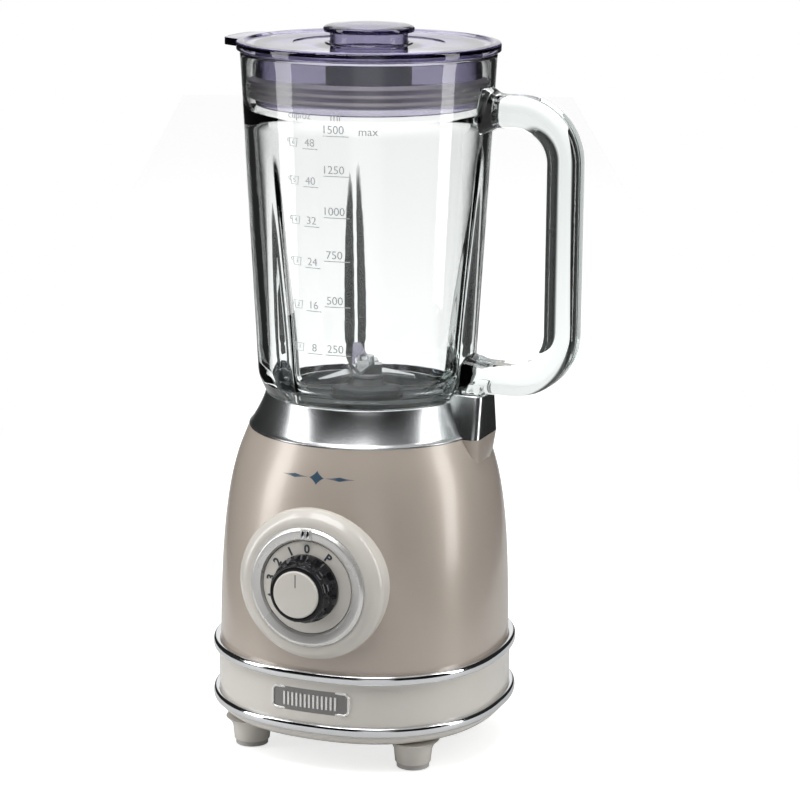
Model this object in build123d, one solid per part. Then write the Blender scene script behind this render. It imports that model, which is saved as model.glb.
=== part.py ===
"""Countertop blender: motor base, glass jug with blades, lid and filler cap.

Millimetres, +Z up. Everything is drawn about the tower axis, which is the motor
shaft, with the dial towards -Y and the handle towards +X. The last lines move it
so that the origin is the centre of the whole blender's footprint, on the table.
"""
from build123d import *
from math import cos, pi, radians, sin, tan
import os

# ---- Overall stack, from the table up ----
foot_height = 15.0
pan_rise = 10.0
band_height = 28.3
housing_height = 122.7
collar_height = 19.3
jug_height = 187.2
base_half = 79.8          # half width of the cream band, flat to flat
base_power = 2.3          # how square the base is: 2 is a circle
wall = 2.6                # moulded walls of the base

# ---- Trim rings ----
ring_height = 5.5
ring_proud = 3.1
ring_fit = 0.15
tongue = 1.0              # flange that is clamped between two mouldings
tongue_depth = 5.0

# ---- Housing outline: height share, how far inside the band, squareness ----
housing_outline = (
    (0.0, 0.8, 2.3), (0.28, 1.4, 2.28), (0.53, 2.6, 2.2),
    (0.73, 5.2, 2.12), (0.87, 8.8, 2.04), (1.0, 14.6, 2.0),
)
roof_drop = 18.0          # roof of the housing, below its top edge
roof_thickness = 3.0
collar_margin = 4.5       # from the blade holder to the collar's rim
collar_wall = 1.8
seat_wall = 1.4

# ---- Lug that lines the jug up with the base ----
lug_reach = 72.0
lug_root = 30.0           # inner end of the lug, inside the collar
lug_corner = 5.0
lug_start = 0.72          # share of the housing's height where the lug begins
lug_half_top = 12.5
lug_half_bottom = 17.0
lug_top_above_collar = 4.2
pin_radius = 2.5
pin_clearance = 0.1
pin_inset = 3.0           # the safety pin, inwards from the lug's middle

# ---- Feet and fasteners of the base ----
foot_inset = 31.4         # from the band's flat to the foot's axis
foot_radius_top = 11.0
foot_radius_bottom = 9.8
pad_thickness = 2.5
pad_inset = 0.8
pan_taper = 13.8          # the pan's underside, inside the band
pan_floor = 2.5
screw_radius = 1.8
screw_head_radius = 3.6
boss_radius = 4.6
boss_height = 56.0
web_offset = 9.0          # middle of the web that ties a boss to the shell
screw_bite = 24.0         # screw thread inside the boss
head_recess = 2.0
head_height = 2.6
screw_play = 0.3
head_play = 0.6
mount_screw_radius = 1.8
mount_x = 30.0            # screws that hang the motor from the roof
mount_y = 14.0
vent_width = 3.0
vent_pitch = 7.0
vent_count = 7
vent_length = 46.0

# ---- Control board, on posts of the pan ----
board_x = 22.0
board_y = 11.0
board_middle = 44.0
post_radius = 3.0

# ---- Badge on the band ----
badge_width = 46.0
badge_height = 13.5
badge_proud = 0.8
badge_depth = 1.2

# ---- Dial ----
dial_height = 105.3
bezel_width = 9.0
bezel_proud = 4.7         # the bezel's crest, beyond the band's flat
bezel_depth = 24.5
dial_ring_width = 7.0
dial_clearance = 0.4
dial_radius = 25.6
dial_recess = 1.0         # the numbered face, behind the bezel's crest
dial_thickness = 2.0
knob_radius = 18.6
knob_front_radius = 15.2
knob_depth = 14.5
knob_notches = 12
cap_disc_inset = 2.3
cap_disc_depth = 1.5
cap_recess = 1.6
index_half = 3.2
selector_radius = 3.0
switch_half = 16.0
running = 0.06            # radial clearance of a shaft in its bearing

# ---- Motor ----
shaft_radius = 4.0
stator_width = 76.0
stator_depth = 64.0
stator_height = 40.0
rotor_radius = 20.4
rotor_gap = 0.6
bolt_x = 32.0
bolt_y = 26.0
bolt_radius = 2.0
bracket_thickness = 4.0
commutator_radius = 10.5
fan_radius = 33.0
fan_blades = 9
bearing_radius = 8.0
bearing_height = 7.0

# ---- Jug ----
jug_top_radius = 70.0
jug_foot_flare = 4.1      # how far the glass widens above the collar's rim
jug_wall = 3.9
neck_radius = 46.5
neck_wall = 4.8
neck_depth = 16.8
baffle_depth = 8.5
baffle_top = 335.0
jug_gap = 0.5             # jug foot above the collar's rim
handle_reach = 43.3       # from the jug's rim to the middle of the bar
handle_radial = 17.5
handle_width = 19.5
handle_corner = 6.0
handle_bend = 26.5
handle_top_drop = 28.6    # from the jug's rim to the middle of the top arm
handle_foot_rise = 12.9   # from the jug's foot to the middle of the bottom arm
spout_radius = 14.0
spout_inset = 8.0

# ---- Blade holder and blades ----
holder_wall = 4.7
holder_clearance = 0.3
holder_floor = 3.0
coupling_radius = 17.0
coupling_teeth = 6
drive_core_radius = 9.8
drive_tooth_radius = 12.6
hub_radius = 9.5
bush_radius = 6.6
bush_length = 4.5
holder_top_gap = 1.0
seat_clearance = 0.8      # between the blade holder and its seat
blade_reach_up = 25.0
blade_reach_down = 27.5
blade_thickness = 1.6
blade_width = 12.0

# ---- Lid and filler cap ----
lid_overhang = 2.0
lid_edge = 5.0
lid_dish = 1.5
lid_skin = 2.4
tab_length = 9.0
tab_half = 17.0
plug_depth = 33.0
plug_clearance = 4.6      # from glass to the plug wall, filled by the gasket
gasket_clearance = 0.4
gasket_height = 12.6
lip_pitch = 4.4
lip_root = 2.0
filler_radius = 21.6
filler_wall = 1.7
filler_depth = 20.0
cap_clearance = 0.4
cap_overhang = 3.2
cap_disc = 3.6
cap_dome = 1.0
cap_neck = 6.2

# ---- Cord gland (rear) ----
gland_bore = 3.7
gland_height = 40.0
gland_flange = 9.0
gland_proud = 3.4
gland_shoulder = 2.5      # the flange, beyond the hole in the band
gland_depth = 9.0

# ---- Sizes that follow from the ones they fit ----
dial_ring_inner = dial_radius + dial_clearance
bezel_inner = dial_ring_inner + dial_ring_width
bezel_radius = bezel_inner + bezel_width
bezel_front = base_half + bezel_proud
bezel_back = bezel_front - bezel_depth
dial_face = bezel_front - dial_recess
cap_disc_radius = knob_front_radius - cap_disc_inset
foot_spread = base_half - foot_inset
pan_half_bottom = base_half - pan_taper
holder_radius = neck_radius + holder_clearance + holder_wall
collar_top_radius = holder_radius + collar_margin
jug_shoulder_radius = collar_top_radius
jug_bottom_radius = jug_shoulder_radius + jug_foot_flare
handle_centre = jug_top_radius + handle_reach
spout_centre = jug_top_radius - spout_inset
lid_radius = jug_top_radius + lid_overhang
tab_reach = lid_radius + tab_length
cap_radius = filler_radius + cap_overhang

# ---- Levels that follow from the stack ----
pan_top = foot_height + pan_rise
band_bottom = pan_top + tongue
band_top = band_bottom + band_height
housing_bottom = band_top + tongue
housing_top = housing_bottom + housing_height
roof_top = housing_top - roof_drop
roof_under = roof_top - roof_thickness
collar_top = housing_top + collar_height
collar_bottom_radius = base_half - housing_outline[-1][1]
jug_foot = collar_top + jug_gap
jug_rim = jug_foot + jug_height
lug_top = collar_top + lug_top_above_collar
neck_bottom = jug_foot - neck_depth
seal_thickness = 1.5
holder_floor_top = neck_bottom - seal_thickness
holder_bottom = holder_floor_top - holder_floor
pad_seat = holder_bottom - 2.0
hub_top = holder_floor_top + 25.0
jug_mouth_radius = jug_top_radius - jug_wall
lid_top = jug_rim + 0.8 + lid_edge
lid_under = lid_top - lid_edge
lid_face = lid_top - lid_dish
motor_top = roof_under - 6.0
stator_top = motor_top - bracket_thickness - 20.0
stator_bottom = stator_top - stator_height
lower_bracket_top = stator_bottom - 11.0
fan_top = lower_bracket_top - bracket_thickness - 6.0
fan_bottom = fan_top - 12.0
shaft_top = holder_floor_top + 4.5
cap_level = shaft_top + 7.0
blade_level = hub_top + 1.8
pin_x = (collar_bottom_radius + lug_reach) / 2 - pin_inset
boss_low = foot_height + pan_floor + 6.5
head_seat = foot_height - head_recess
board_low = foot_height + pan_floor + 7.0
drive_opening = coupling_radius + 5.0
dial_web = dial_face - dial_thickness - 4.5
selector_end = dial_face - 25.5
switch_back = selector_end - 4.0

BASE = (Align.CENTER, Align.CENTER, Align.MIN)


# ---- Drawing helpers ----
def rod(radius, low, high):
    return Pos(0, 0, low) * Cylinder(radius, high - low, align=BASE)


def tube(outer, inner, low, high):
    return rod(outer, low, high) - rod(inner, low - 1, high + 1)


def block(x, y, z):
    """Box between the two limits given for each direction."""
    size = (x[1] - x[0], y[1] - y[0], z[1] - z[0])
    return Pos((x[0] + x[1]) / 2, (y[0] + y[1]) / 2, z[0]) * Box(*size, align=BASE)


def outline(points):
    """Closed face in the XZ plane. A third number in a point rounds that corner."""
    corners = [Vector(point[0], 0, point[1]) for point in points]
    edges = []
    ends = []
    for i, corner in enumerate(corners):
        radius = points[i][2] if len(points[i]) > 2 else 0
        if radius == 0:
            ends.append((corner, corner))
            continue
        before = (corners[i - 1] - corner).normalized()
        after = (corners[(i + 1) % len(corners)] - corner).normalized()
        half = radians(before.get_angle(after)) / 2
        inward = (before + after).normalized()
        centre = corner + inward * (radius / sin(half))
        start = corner + before * (radius / tan(half))
        end = corner + after * (radius / tan(half))
        edges.append(ThreePointArc(start, centre - inward * radius, end))
        ends.append((start, end))
    for i, (_, start) in enumerate(ends):
        end = ends[(i + 1) % len(ends)][0]
        if (end - start).length > 1e-4:
            edges.append(Line(start, end))
    return make_face(edges)


def lathe(*points):
    return revolve(outline(points), Axis.Z)


def squircle(half, power, height):
    """Face with the outline of a rounded square, drawn from its formula."""
    points = []
    steps = 24
    for i in range(steps):
        angle = 2 * pi * i / steps
        across, along = cos(angle), sin(angle)
        radius = half / (abs(across) ** power + abs(along) ** power) ** (1 / power)
        points.append((radius * across, radius * along, height))
    return make_face(Spline(*points, periodic=True))


def squircle_loft(sections):
    return loft([squircle(*section) for section in sections])


def squircle_ring(outer, inner, low, high):
    outside = squircle_loft([(outer, base_power, low), (outer, base_power, high)])
    return outside - squircle_loft([(inner, base_power, low - 1), (inner, base_power, high + 1)])


def around(shape, count, start=0):
    return [Rot(0, 0, start + 360 / count * i) * shape for i in range(count)]


def at_corners(shape, x, y):
    return [Pos(sx * x, sy * y, 0) * shape for sx in (-1, 1) for sy in (-1, 1)]


def to_front(shape):
    """Stand a piece that was drawn along +Z on the dial's axis, pointing to -Y."""
    return Pos(0, 0, dial_height) * Rot(90, 0, 0) * shape


def solids(shapes):
    return Compound(list(shapes))


# ---- Motor base ----
def housing_sections(inset):
    sections = []
    for share, inside, power in housing_outline:
        height = housing_bottom + share * housing_height
        sections.append((base_half - inside - inset, power, height))
    return sections


def lug_solid():
    low = housing_bottom + lug_start * housing_height
    sections = []
    levels = ((low, lug_half_bottom + 1.5), (housing_top, lug_half_bottom), (lug_top, lug_half_top))
    for height, half in levels:
        corners = RectangleRounded(lug_reach - lug_root, 2 * half, lug_corner)
        sections.append(Pos((lug_reach + lug_root) / 2, 0, height) * corners)
    return loft(sections, ruled=True)


def pin_hole():
    return Pos(pin_x, 0, 0) * rod(pin_radius + pin_clearance, roof_under - 1, lug_top + 1)


def housing_shell():
    inner = housing_sections(wall)
    body = squircle_loft(housing_sections(0))
    lug = lug_solid() & rod(2 * lug_reach, housing_bottom, housing_top)
    cavity = squircle_loft(inner)
    roof = cavity & rod(2 * base_half, roof_under, roof_top)
    shell = (body + lug) - cavity + roof
    for sx, sy in ((1, 1), (1, -1), (-1, 1), (-1, -1)):
        x, y = sx * foot_spread, sy * foot_spread
        boss = Pos(x, y, 0) * rod(boss_radius, boss_low, boss_low + boss_height)
        web = Pos(sx * (foot_spread + web_offset), sy * (foot_spread + web_offset), housing_bottom + 12)
        web *= Rot(0, 0, 45 * sx * sy) * Box(22, 2.5, 24)
        shell += boss + (web & body)
        shell -= Pos(x, y, 0) * rod(screw_radius, boss_low - 1, boss_low + screw_bite + 6)
    shell -= to_front(rod(bezel_radius, bezel_back - 6, 2 * base_half))
    shell -= rod(drive_opening, roof_under - 1, roof_top + 1)
    shell -= solids(at_corners(rod(mount_screw_radius, roof_under - 1, roof_top + 1), mount_x, mount_y))
    return shell - pin_hole()


def base_pan():
    outer = squircle_loft([
        (pan_half_bottom, base_power, foot_height), (base_half - 4.5, base_power, foot_height + 2.5),
        (base_half - 1.2, base_power, foot_height + 5.5), (base_half, base_power, pan_top),
    ])
    floor = foot_height + pan_floor
    cavity = squircle_loft([
        (pan_half_bottom - 2, base_power, floor), (base_half - 4.5 - wall, base_power, floor + 2.0),
        (base_half - wall, base_power, pan_top + 1),
    ])
    pan = outer - cavity
    leg = Pos(0, 0, pad_thickness) * Cone(
        foot_radius_bottom, foot_radius_top, foot_height + 1 - pad_thickness, align=BASE)
    seat = rod(boss_radius + 1.5, floor - 0.5, boss_low)
    for part in at_corners(leg + seat, foot_spread, foot_spread):
        pan += part
    for part in at_corners(screw_hole(), foot_spread, foot_spread):
        pan -= part
    for i in range(vent_count):
        x = (i - (vent_count - 1) / 2) * vent_pitch
        pan -= block((x - vent_width / 2, x + vent_width / 2), (-vent_length / 2, vent_length / 2),
                     (foot_height - 1, floor + 1))
    for part in at_corners(rod(post_radius, floor - 0.5, board_low), board_x, board_y):
        pan += Pos(0, board_middle, 0) * part
    return pan


def screw_hole():
    head = rod(screw_head_radius + head_play, 0, head_seat)
    return head + rod(screw_radius + screw_play, 0, boss_low + 1)


def foot_pads():
    pad = tube(foot_radius_bottom - pad_inset, screw_head_radius + head_play, 0, pad_thickness)
    return solids(at_corners(pad, foot_spread, foot_spread))


def base_screws():
    shank = rod(screw_radius, head_seat, boss_low + screw_bite)
    head = rod(screw_head_radius, head_seat - head_height, head_seat)
    slot = block((-0.5, 0.5), (-2.6, 2.6), (head_seat - head_height - 0.4, head_seat - 1.2))
    head = head - slot - Rot(0, 0, 90) * slot
    return solids(at_corners(shank + head, foot_spread, foot_spread))


def trim_ring(joint_height):
    middle = joint_height + tongue / 2
    bead = squircle_loft([
        (base_half + 0.6, base_power, middle - ring_height / 2),
        (base_half + ring_proud - 0.5, base_power, middle - ring_height / 2 + 0.7),
        (base_half + ring_proud, base_power, middle - 0.6),
        (base_half + ring_proud - 0.2, base_power, middle + ring_height / 2 - 0.6),
        (base_half + ring_proud - 1.0, base_power, middle + ring_height / 2),
    ])
    bead -= squircle_loft([
        (base_half + ring_fit, base_power, middle - ring_height),
        (base_half + ring_fit, base_power, middle + ring_height)])
    flange = squircle_ring(base_half + 1, base_half - tongue_depth, joint_height, joint_height + tongue)
    return bead + flange


def badge_block(depth):
    face = RectangleRounded(badge_width, badge_height, 3.5)
    middle = (band_bottom + band_top) / 2
    column = Pos(0, -base_half + 12, middle) * Rot(90, 0, 0) * extrude(face, 30)
    return column & squircle_ring(base_half + badge_proud, base_half - depth, band_bottom, band_top)


def base_band():
    band = squircle_ring(base_half, base_half - wall, band_bottom, band_top)
    band -= badge_block(badge_depth)
    hole = rod(gland_flange - gland_shoulder, base_half - 10, base_half + 5)
    return band - Pos(0, 0, gland_height) * Rot(-90, 0, 0) * hole


def badge_plate():
    return badge_block(badge_depth)


def cord_gland():
    barrel_radius = gland_flange - gland_shoulder
    barrel = lathe(
        (gland_bore, base_half - gland_depth), (barrel_radius, base_half - gland_depth),
        (barrel_radius, base_half + 0.2), (gland_flange, base_half + 0.2),
        (gland_flange - 0.6, base_half + 2.0, 0.8),
        (gland_bore + 1.6, base_half + gland_proud, 0.6), (gland_bore, base_half + gland_proud),
    )
    return Pos(0, 0, gland_height) * Rot(-90, 0, 0) * barrel


def collar():
    top, low = collar_top, housing_top
    middle = (low + top) / 2
    shell = lathe(
        (collar_bottom_radius - collar_wall, low), (collar_bottom_radius, low),
        (collar_bottom_radius, low + 0.8), (collar_bottom_radius - 5.6, middle - 1.0, 40),
        (collar_top_radius, top - 1.6), (collar_top_radius, top), (collar_top_radius - collar_wall, top),
        (collar_top_radius - collar_wall, top - 1.9),
        (collar_bottom_radius - 5.8 - collar_wall, middle - 1.2, 40),
    )
    outside = lathe(
        (0, low), (collar_bottom_radius - collar_wall + 0.4, low),
        (collar_bottom_radius - 5.4 - collar_wall, middle - 1.0),
        (collar_top_radius - collar_wall, top - 1.6), (collar_top_radius - collar_wall, top), (0, top),
    )
    lug = lug_solid() & rod(2 * lug_reach, low, lug_top)
    lug -= outside
    lug -= rod(jug_bottom_radius - 0.4, top, lug_top + 1)
    lug -= lug_hollow()
    return shell + lug - pin_hole()


def lug_hollow():
    """Open space inside the lug, under its top plate, beside the pin's guide."""
    side = block((collar_bottom_radius - 2.5, lug_reach - 2), (pin_radius + 2.5, lug_half_top - 2),
                 (housing_top - 1, lug_top - 2.5))
    return side + mirror(side, Plane.XZ)


def jug_seat():
    cup = holder_radius + seat_clearance
    seat = lathe(
        (drive_opening, roof_top), (cup + 6.5, roof_top), (cup + 6.5, roof_top + 2.5),
        (cup + seat_wall, roof_top + 2.5), (cup + seat_wall, collar_top - 0.8), (cup, collar_top - 0.8),
        (cup, pad_seat - 1.8), (drive_opening, pad_seat - 1.8),
    )
    return seat


def seat_pad():
    return tube(holder_radius + 0.3, holder_radius - 4.5, pad_seat - 1.8, pad_seat + 1.7)


def interlock_pin():
    flange = Pos(pin_x, 0, 0) * rod(pin_radius + 1.5, roof_under - 6, roof_under - 4.4)
    stem = Pos(pin_x, 0, 0) * rod(pin_radius, roof_under - 8, lug_top)
    return stem + flange


def safety_switch():
    top = roof_under - 8.3
    body = block((pin_x - 9, pin_x + 2.5), (-10, 10), (top - 11, top))
    return body + block((pin_x - 9, pin_x - 6.5), (-10, 10), (top - 1, roof_under))


# ---- Dial ----
def dial_bezel():
    ring = lathe(
        (selector_radius + running, dial_web), (selector_radius + running, dial_web - 2.5),
        (bezel_inner + 1, dial_web - 2.5),
        (bezel_inner + 1, bezel_back), (bezel_radius, bezel_back), (bezel_radius, bezel_front - 4.0, 3.0),
        (bezel_radius - 5.5, bezel_front, 4.0), (bezel_inner, bezel_front - 1.0, 0.8),
        (bezel_inner, dial_web),
    )
    return to_front(ring)


def dial_ring():
    ring = lathe(
        (dial_ring_inner, dial_web), (bezel_inner, dial_web), (bezel_inner, bezel_front - 0.2, 0.4),
        (bezel_inner - 2.0, bezel_front + 1.2, 0.8), (dial_ring_inner, bezel_front - 0.6, 0.4),
    )
    return to_front(ring - index_block())


def index_block():
    """The small window at the top of the dial's ring."""
    return block((-index_half, index_half), (dial_ring_inner + 1.2, bezel_inner - 1.0),
                 (bezel_front - 3.0, bezel_front + 0.9))


def dial_index():
    return to_front(index_block())


def dial_skirt():
    low = dial_face - dial_thickness
    return to_front(tube(dial_radius, selector_radius, low, dial_face))


def knob_grip():
    front = dial_face + knob_depth
    grip = lathe(
        (selector_radius, dial_face), (knob_radius, dial_face, 0.6), (knob_radius, dial_face + 3.0, 1.5),
        (knob_front_radius + 1.4, dial_face + 5.5, 2.0), (knob_front_radius, front, 1.2),
        (cap_disc_radius, front), (cap_disc_radius, front - cap_recess),
        (selector_radius, front - cap_recess),
    )
    notch = Pos(knob_front_radius + 4.2, 0, 0) * rod(3.4, dial_face + 3.2, front + 1)
    for cut in around(notch, knob_notches, 15):
        grip -= cut
    return to_front(grip)


def knob_cap():
    low = dial_face + knob_depth - cap_recess
    high = dial_face + knob_depth + cap_disc_depth
    return to_front(lathe((0, low), (cap_disc_radius, low), (cap_disc_radius, high, 1.0), (0, high)))


def selector_shaft():
    return to_front(rod(selector_radius, selector_end, dial_face + knob_depth - cap_recess))


def rotary_switch():
    front = dial_web - 2.5
    half = switch_half
    body = block((-half, half), (-half, half), (switch_back, front - 3)) + rod(6.5, front - 3.5, front)
    for x in (-11, 0, 11):
        body += block((x - 2.5, x + 2.5), (-half - 4, -half + 1), (selector_end, selector_end + 0.8))
    return to_front(body - rod(selector_radius + running, switch_back - 1, front + 1))


# ---- Motor ----
def stator():
    core = block((-stator_width / 2, stator_width / 2), (-stator_depth / 2, stator_depth / 2),
                 (stator_bottom, stator_top))
    core -= rod(rotor_radius + rotor_gap, stator_bottom - 1, stator_top + 1)
    for part in at_corners(rod(bolt_radius, stator_bottom - 1, stator_top + 1), bolt_x, bolt_y):
        core -= part
    slot = block((19.6, 26.4), (12.6, 21.4), (stator_bottom - 1, stator_top + 1))
    for part in (slot, mirror(slot, Plane.YZ), mirror(slot, Plane.XZ), Rot(0, 0, 180) * slot):
        core -= part
    return core


def field_coils():
    low, high = stator_bottom - 7, stator_top + 7
    coil = block((20, 26), (13, 21), (low, high)) + block((-26, -20), (13, 21), (low, high))
    coil += block((-26, 26), (20, 27), (stator_top + 0.3, high))
    coil += block((-26, 26), (20, 27), (low, stator_bottom - 0.3))
    return solids([coil, mirror(coil, Plane.XZ)])


def bracket(low, high, post_low, post_high, boss_low, boss_high):
    plate = extrude(Pos(0, 0, low) * RectangleRounded(stator_width + 4, stator_depth + 2, 6), high - low)
    plate += rod(bearing_radius + 4, boss_low, boss_high)
    for part in at_corners(rod(bolt_radius + 3, post_low, post_high), bolt_x, bolt_y):
        plate += part
    plate -= rod(bearing_radius, boss_low - 1, boss_high + 1)
    for part in at_corners(rod(bolt_radius, post_low - 1, post_high + 1), bolt_x, bolt_y):
        plate -= part
    return plate


def motor_upper_bracket():
    low = motor_top - bracket_thickness
    plate = bracket(low, motor_top, stator_top, motor_top, low - 2, motor_top + 1)
    for part in at_corners(rod(mount_screw_radius, low - 1, motor_top + 1), mount_x, mount_y):
        plate -= part
    return plate


def motor_lower_bracket():
    low = lower_bracket_top - bracket_thickness
    plate = bracket(low, lower_bracket_top, low, stator_bottom, low - 4, lower_bracket_top)
    for part in at_corners(rod(7, low - 1, lower_bracket_top + 1), 22, 0):
        plate -= part
    return plate


def bearing(low):
    top = low + bearing_height
    groove = tube(bearing_radius - 1.4, shaft_radius + 1.5, top - 0.5, top + 1)
    return tube(bearing_radius, shaft_radius + running, low, low + bearing_height) - groove


def motor_bolts():
    low, high = lower_bracket_top - bracket_thickness, motor_top
    bolt = rod(bolt_radius, low, high) + rod(bolt_radius + 2, low - 3, low)
    return solids(at_corners(bolt, bolt_x, bolt_y))


def motor_mounts():
    return solids(at_corners(tube(5.5, mount_screw_radius, motor_top, roof_under), mount_x, mount_y))


def mount_screws():
    screw = rod(mount_screw_radius, motor_top - bracket_thickness, roof_top)
    return solids(at_corners(screw, mount_x, mount_y))


def motor_shaft():
    return rod(shaft_radius, fan_bottom - 3, shaft_top)


def rotor_core():
    core = tube(rotor_radius, shaft_radius, stator_bottom, stator_top)
    slot = block((rotor_radius - 7, rotor_radius + 1), (-1.5, 1.5), (stator_bottom - 1, stator_top + 1))
    for part in around(slot, 12):
        core -= part
    return core


def rotor_windings():
    low = tube(18, 7, stator_bottom - 6.5, stator_bottom)
    high = tube(18, 7, stator_top, stator_top + 6.5)
    bar = block((rotor_radius - 6.8, rotor_radius - 1.0), (-1.3, 1.3), (stator_bottom - 1, stator_top + 1))
    coil = low + high
    for part in around(bar, 12):
        coil += part
    return coil


def commutator():
    low = stator_top + 7
    drum = tube(commutator_radius, shaft_radius, low, low + 9)
    cut = block((commutator_radius - 1, commutator_radius + 1), (-0.3, 0.3), (low + 1, low + 10))
    for part in around(cut, 12, 15):
        drum -= part
    return drum


def brush_level():
    return stator_top + 8


def brush_holders():
    low = brush_level()
    guide = block((commutator_radius + 1.5, 34), (-5, 5), (low, low + 8))
    guide -= block((0, 40), (-2.6, 2.6), (low + 1.4, low + 6.6))
    guide += block((26, 32), (-5, 5), (low + 7.5, motor_top - bracket_thickness))
    return solids([guide, Rot(0, 0, 180) * guide])


def carbon_brushes():
    low = brush_level()
    brush = block((commutator_radius + 0.4, 26), (-2.5, 2.5), (low + 1.5, low + 6.5))
    return solids([brush, Rot(0, 0, 180) * brush])


def cooling_fan():
    fan = tube(fan_radius, shaft_radius, fan_top - 2, fan_top) + tube(8, shaft_radius, fan_bottom, fan_top)
    blade = block((7, fan_radius), (-0.8, 0.8), (fan_bottom + 1, fan_top - 1))
    for part in around(blade, fan_blades):
        fan += part
    return fan


def teeth(inner, outer, half_angle, low, high, count, start):
    wedge = tube(outer, inner, low, high)
    reach = outer + 5
    spread = reach * tan(radians(half_angle))
    side = Polygon((0, 0), (reach, -spread), (reach, spread), align=None)
    tooth = wedge & (Pos(0, 0, low) * extrude(side, high - low))
    return around(tooth, count, start)


def drive_coupling():
    low, high = shaft_top - 10, shaft_top + 1.5
    body = tube(drive_core_radius, shaft_radius, low, shaft_top) + rod(drive_core_radius, shaft_top, high)
    for part in teeth(drive_core_radius - 1, drive_tooth_radius, 10, low + 3, high, coupling_teeth, 0):
        body += part
    return body


def driven_coupling():
    low, high = shaft_top - 5.5, shaft_top + 6
    cavity = drive_tooth_radius + 0.6
    cup = rod(coupling_radius, low, high) - rod(cavity, low - 1, shaft_top + 2.5)
    for part in teeth(drive_core_radius + 0.5, cavity + 1, 12, low, shaft_top + 3, coupling_teeth, 30):
        cup += part
    return cup - rod(shaft_radius, shaft_top + 2, high + 1)


def control_board():
    low = board_low
    board = block((-board_x - 4, board_x + 4), (board_middle - board_y - 4, board_middle + board_y + 4),
                  (low, low + 1.6))
    board += Pos(-12, board_middle, 0) * rod(5, low + 1, low + 13)
    board += block((2, 14), (board_middle - 6, board_middle + 6), (low + 1, low + 10))
    return board + block((17, 24), (board_middle - 9, board_middle + 9), (low + 1, low + 9))


# ---- Jug ----
def jug_profile():
    slope = (jug_top_radius - jug_bottom_radius) / (jug_height - 10)
    inner_low = jug_foot + 14
    inner_radius = jug_bottom_radius + slope * 4 - jug_wall - 0.3
    neck_in = neck_radius - neck_wall
    return lathe(
        (jug_top_radius, jug_rim, 1.2), (jug_bottom_radius, jug_foot + 10, 18),
        (jug_shoulder_radius, jug_foot, 3.0), (neck_radius, jug_foot), (neck_radius, neck_bottom),
        (neck_in, neck_bottom), (neck_in, jug_foot - 1.0, 6.0), (inner_radius, inner_low, 16),
        (jug_mouth_radius - 1.0, jug_rim - 33.5), (jug_mouth_radius, jug_rim - 31.5),
        (jug_mouth_radius, jug_rim, 1.2),
    )


def glass_jug():
    jug = jug_profile()
    low = jug_foot + 8
    lean = (jug_top_radius - jug_bottom_radius) / (jug_height - 10)
    outer_low = jug_bottom_radius + lean * (low - jug_foot - 10)
    outer_top = jug_bottom_radius + lean * (baffle_top - jug_foot - 10)
    for angle in (0, 120, 240):
        wide = Pos(outer_low - jug_wall, 0, low) * Circle(baffle_depth)
        narrow = Pos(outer_top - jug_wall + 0.2, 0, baffle_top) * Circle(0.6)
        rib = loft([wide, narrow])
        keep = rod(outer_low - 1.2, low, baffle_top + 1) + loft([
            Pos(0, 0, low) * Circle(outer_low - 1.2), Pos(0, 0, baffle_top + 1) * Circle(outer_top - 1.2)])
        jug += Rot(0, 0, angle) * (rib & keep)
    jug += handle() + glass_lug() + spout(0)
    return jug - spout(jug_wall)


def handle():
    top, low = jug_rim - handle_top_drop, jug_foot + handle_foot_rise
    root = jug_bottom_radius - 2.2
    path = FilletPolyline((jug_mouth_radius + 0.9, 0, top), (handle_centre, 0, top), (handle_centre, 0, low),
                          (root, 0, low), radius=handle_bend)
    section = RectangleRounded(handle_width, handle_radial, handle_corner)
    start = Plane(origin=(jug_mouth_radius + 0.9, 0, top), x_dir=(0, 1, 0), z_dir=(1, 0, 0))
    return sweep(start * section, path)


def glass_lug():
    """The glass foot under the handle, which stands over the base's lug."""
    low = lug_top + 0.3
    inner = jug_bottom_radius - 10
    plan = RectangleRounded(lug_reach - inner, 2 * lug_half_top - 1, 4.5)
    slab = extrude(Pos((lug_reach + inner) / 2 - 0.4, 0, low) * plan, handle_foot_rise - 5)
    return slab - rod(jug_bottom_radius - 2.5, low - 1, low + 20)


def spout(inset):
    low = Pos(-(jug_top_radius - 7.0), 0, jug_rim - 30) * Circle(5.0 - inset * 0.5)
    high = Pos(-spout_centre, 0, jug_rim + (0 if inset == 0 else 0.01)) * Circle(spout_radius - inset)
    shape = loft([low, high])
    if inset == 0:
        shape -= rod(jug_mouth_radius, jug_rim - 32, jug_rim + 1)
        shape -= rod(jug_mouth_radius - 1, neck_bottom, jug_rim)
    return shape


# ---- Blade holder and blades ----
def blade_holder():
    inner = neck_radius + holder_clearance
    top = jug_foot - holder_top_gap
    coupling_space = coupling_radius + 1.2
    return lathe(
        (holder_radius, holder_bottom), (holder_radius, top, 0.8), (inner, top), (inner, holder_floor_top),
        (coupling_space + 3.5, holder_floor_top, 2.0), (coupling_space + 2.5, cap_level + 2.5, 4.0),
        (hub_radius + 2.0, cap_level + 5.5, 3.0), (hub_radius, hub_top, 1.5), (bush_radius, hub_top),
        (bush_radius, cap_level), (coupling_space, cap_level), (coupling_space, holder_bottom + 1),
        (inner - 5, holder_bottom + 1), (inner - 5, holder_bottom),
    )


def blade_seal():
    return tube(neck_radius, neck_radius - neck_wall, holder_floor_top, neck_bottom)


def blade_bushes():
    inner = shaft_radius + running
    levels = (cap_level, hub_top - bush_length)
    return solids([tube(bush_radius, inner, low, low + bush_length) for low in levels])


def blade_shaft():
    return rod(shaft_radius, shaft_top + 2.5, blade_level + 2 * blade_thickness + 7)


def blade_washer():
    return tube(8.0, shaft_radius, hub_top + 0.4, blade_level)


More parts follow.
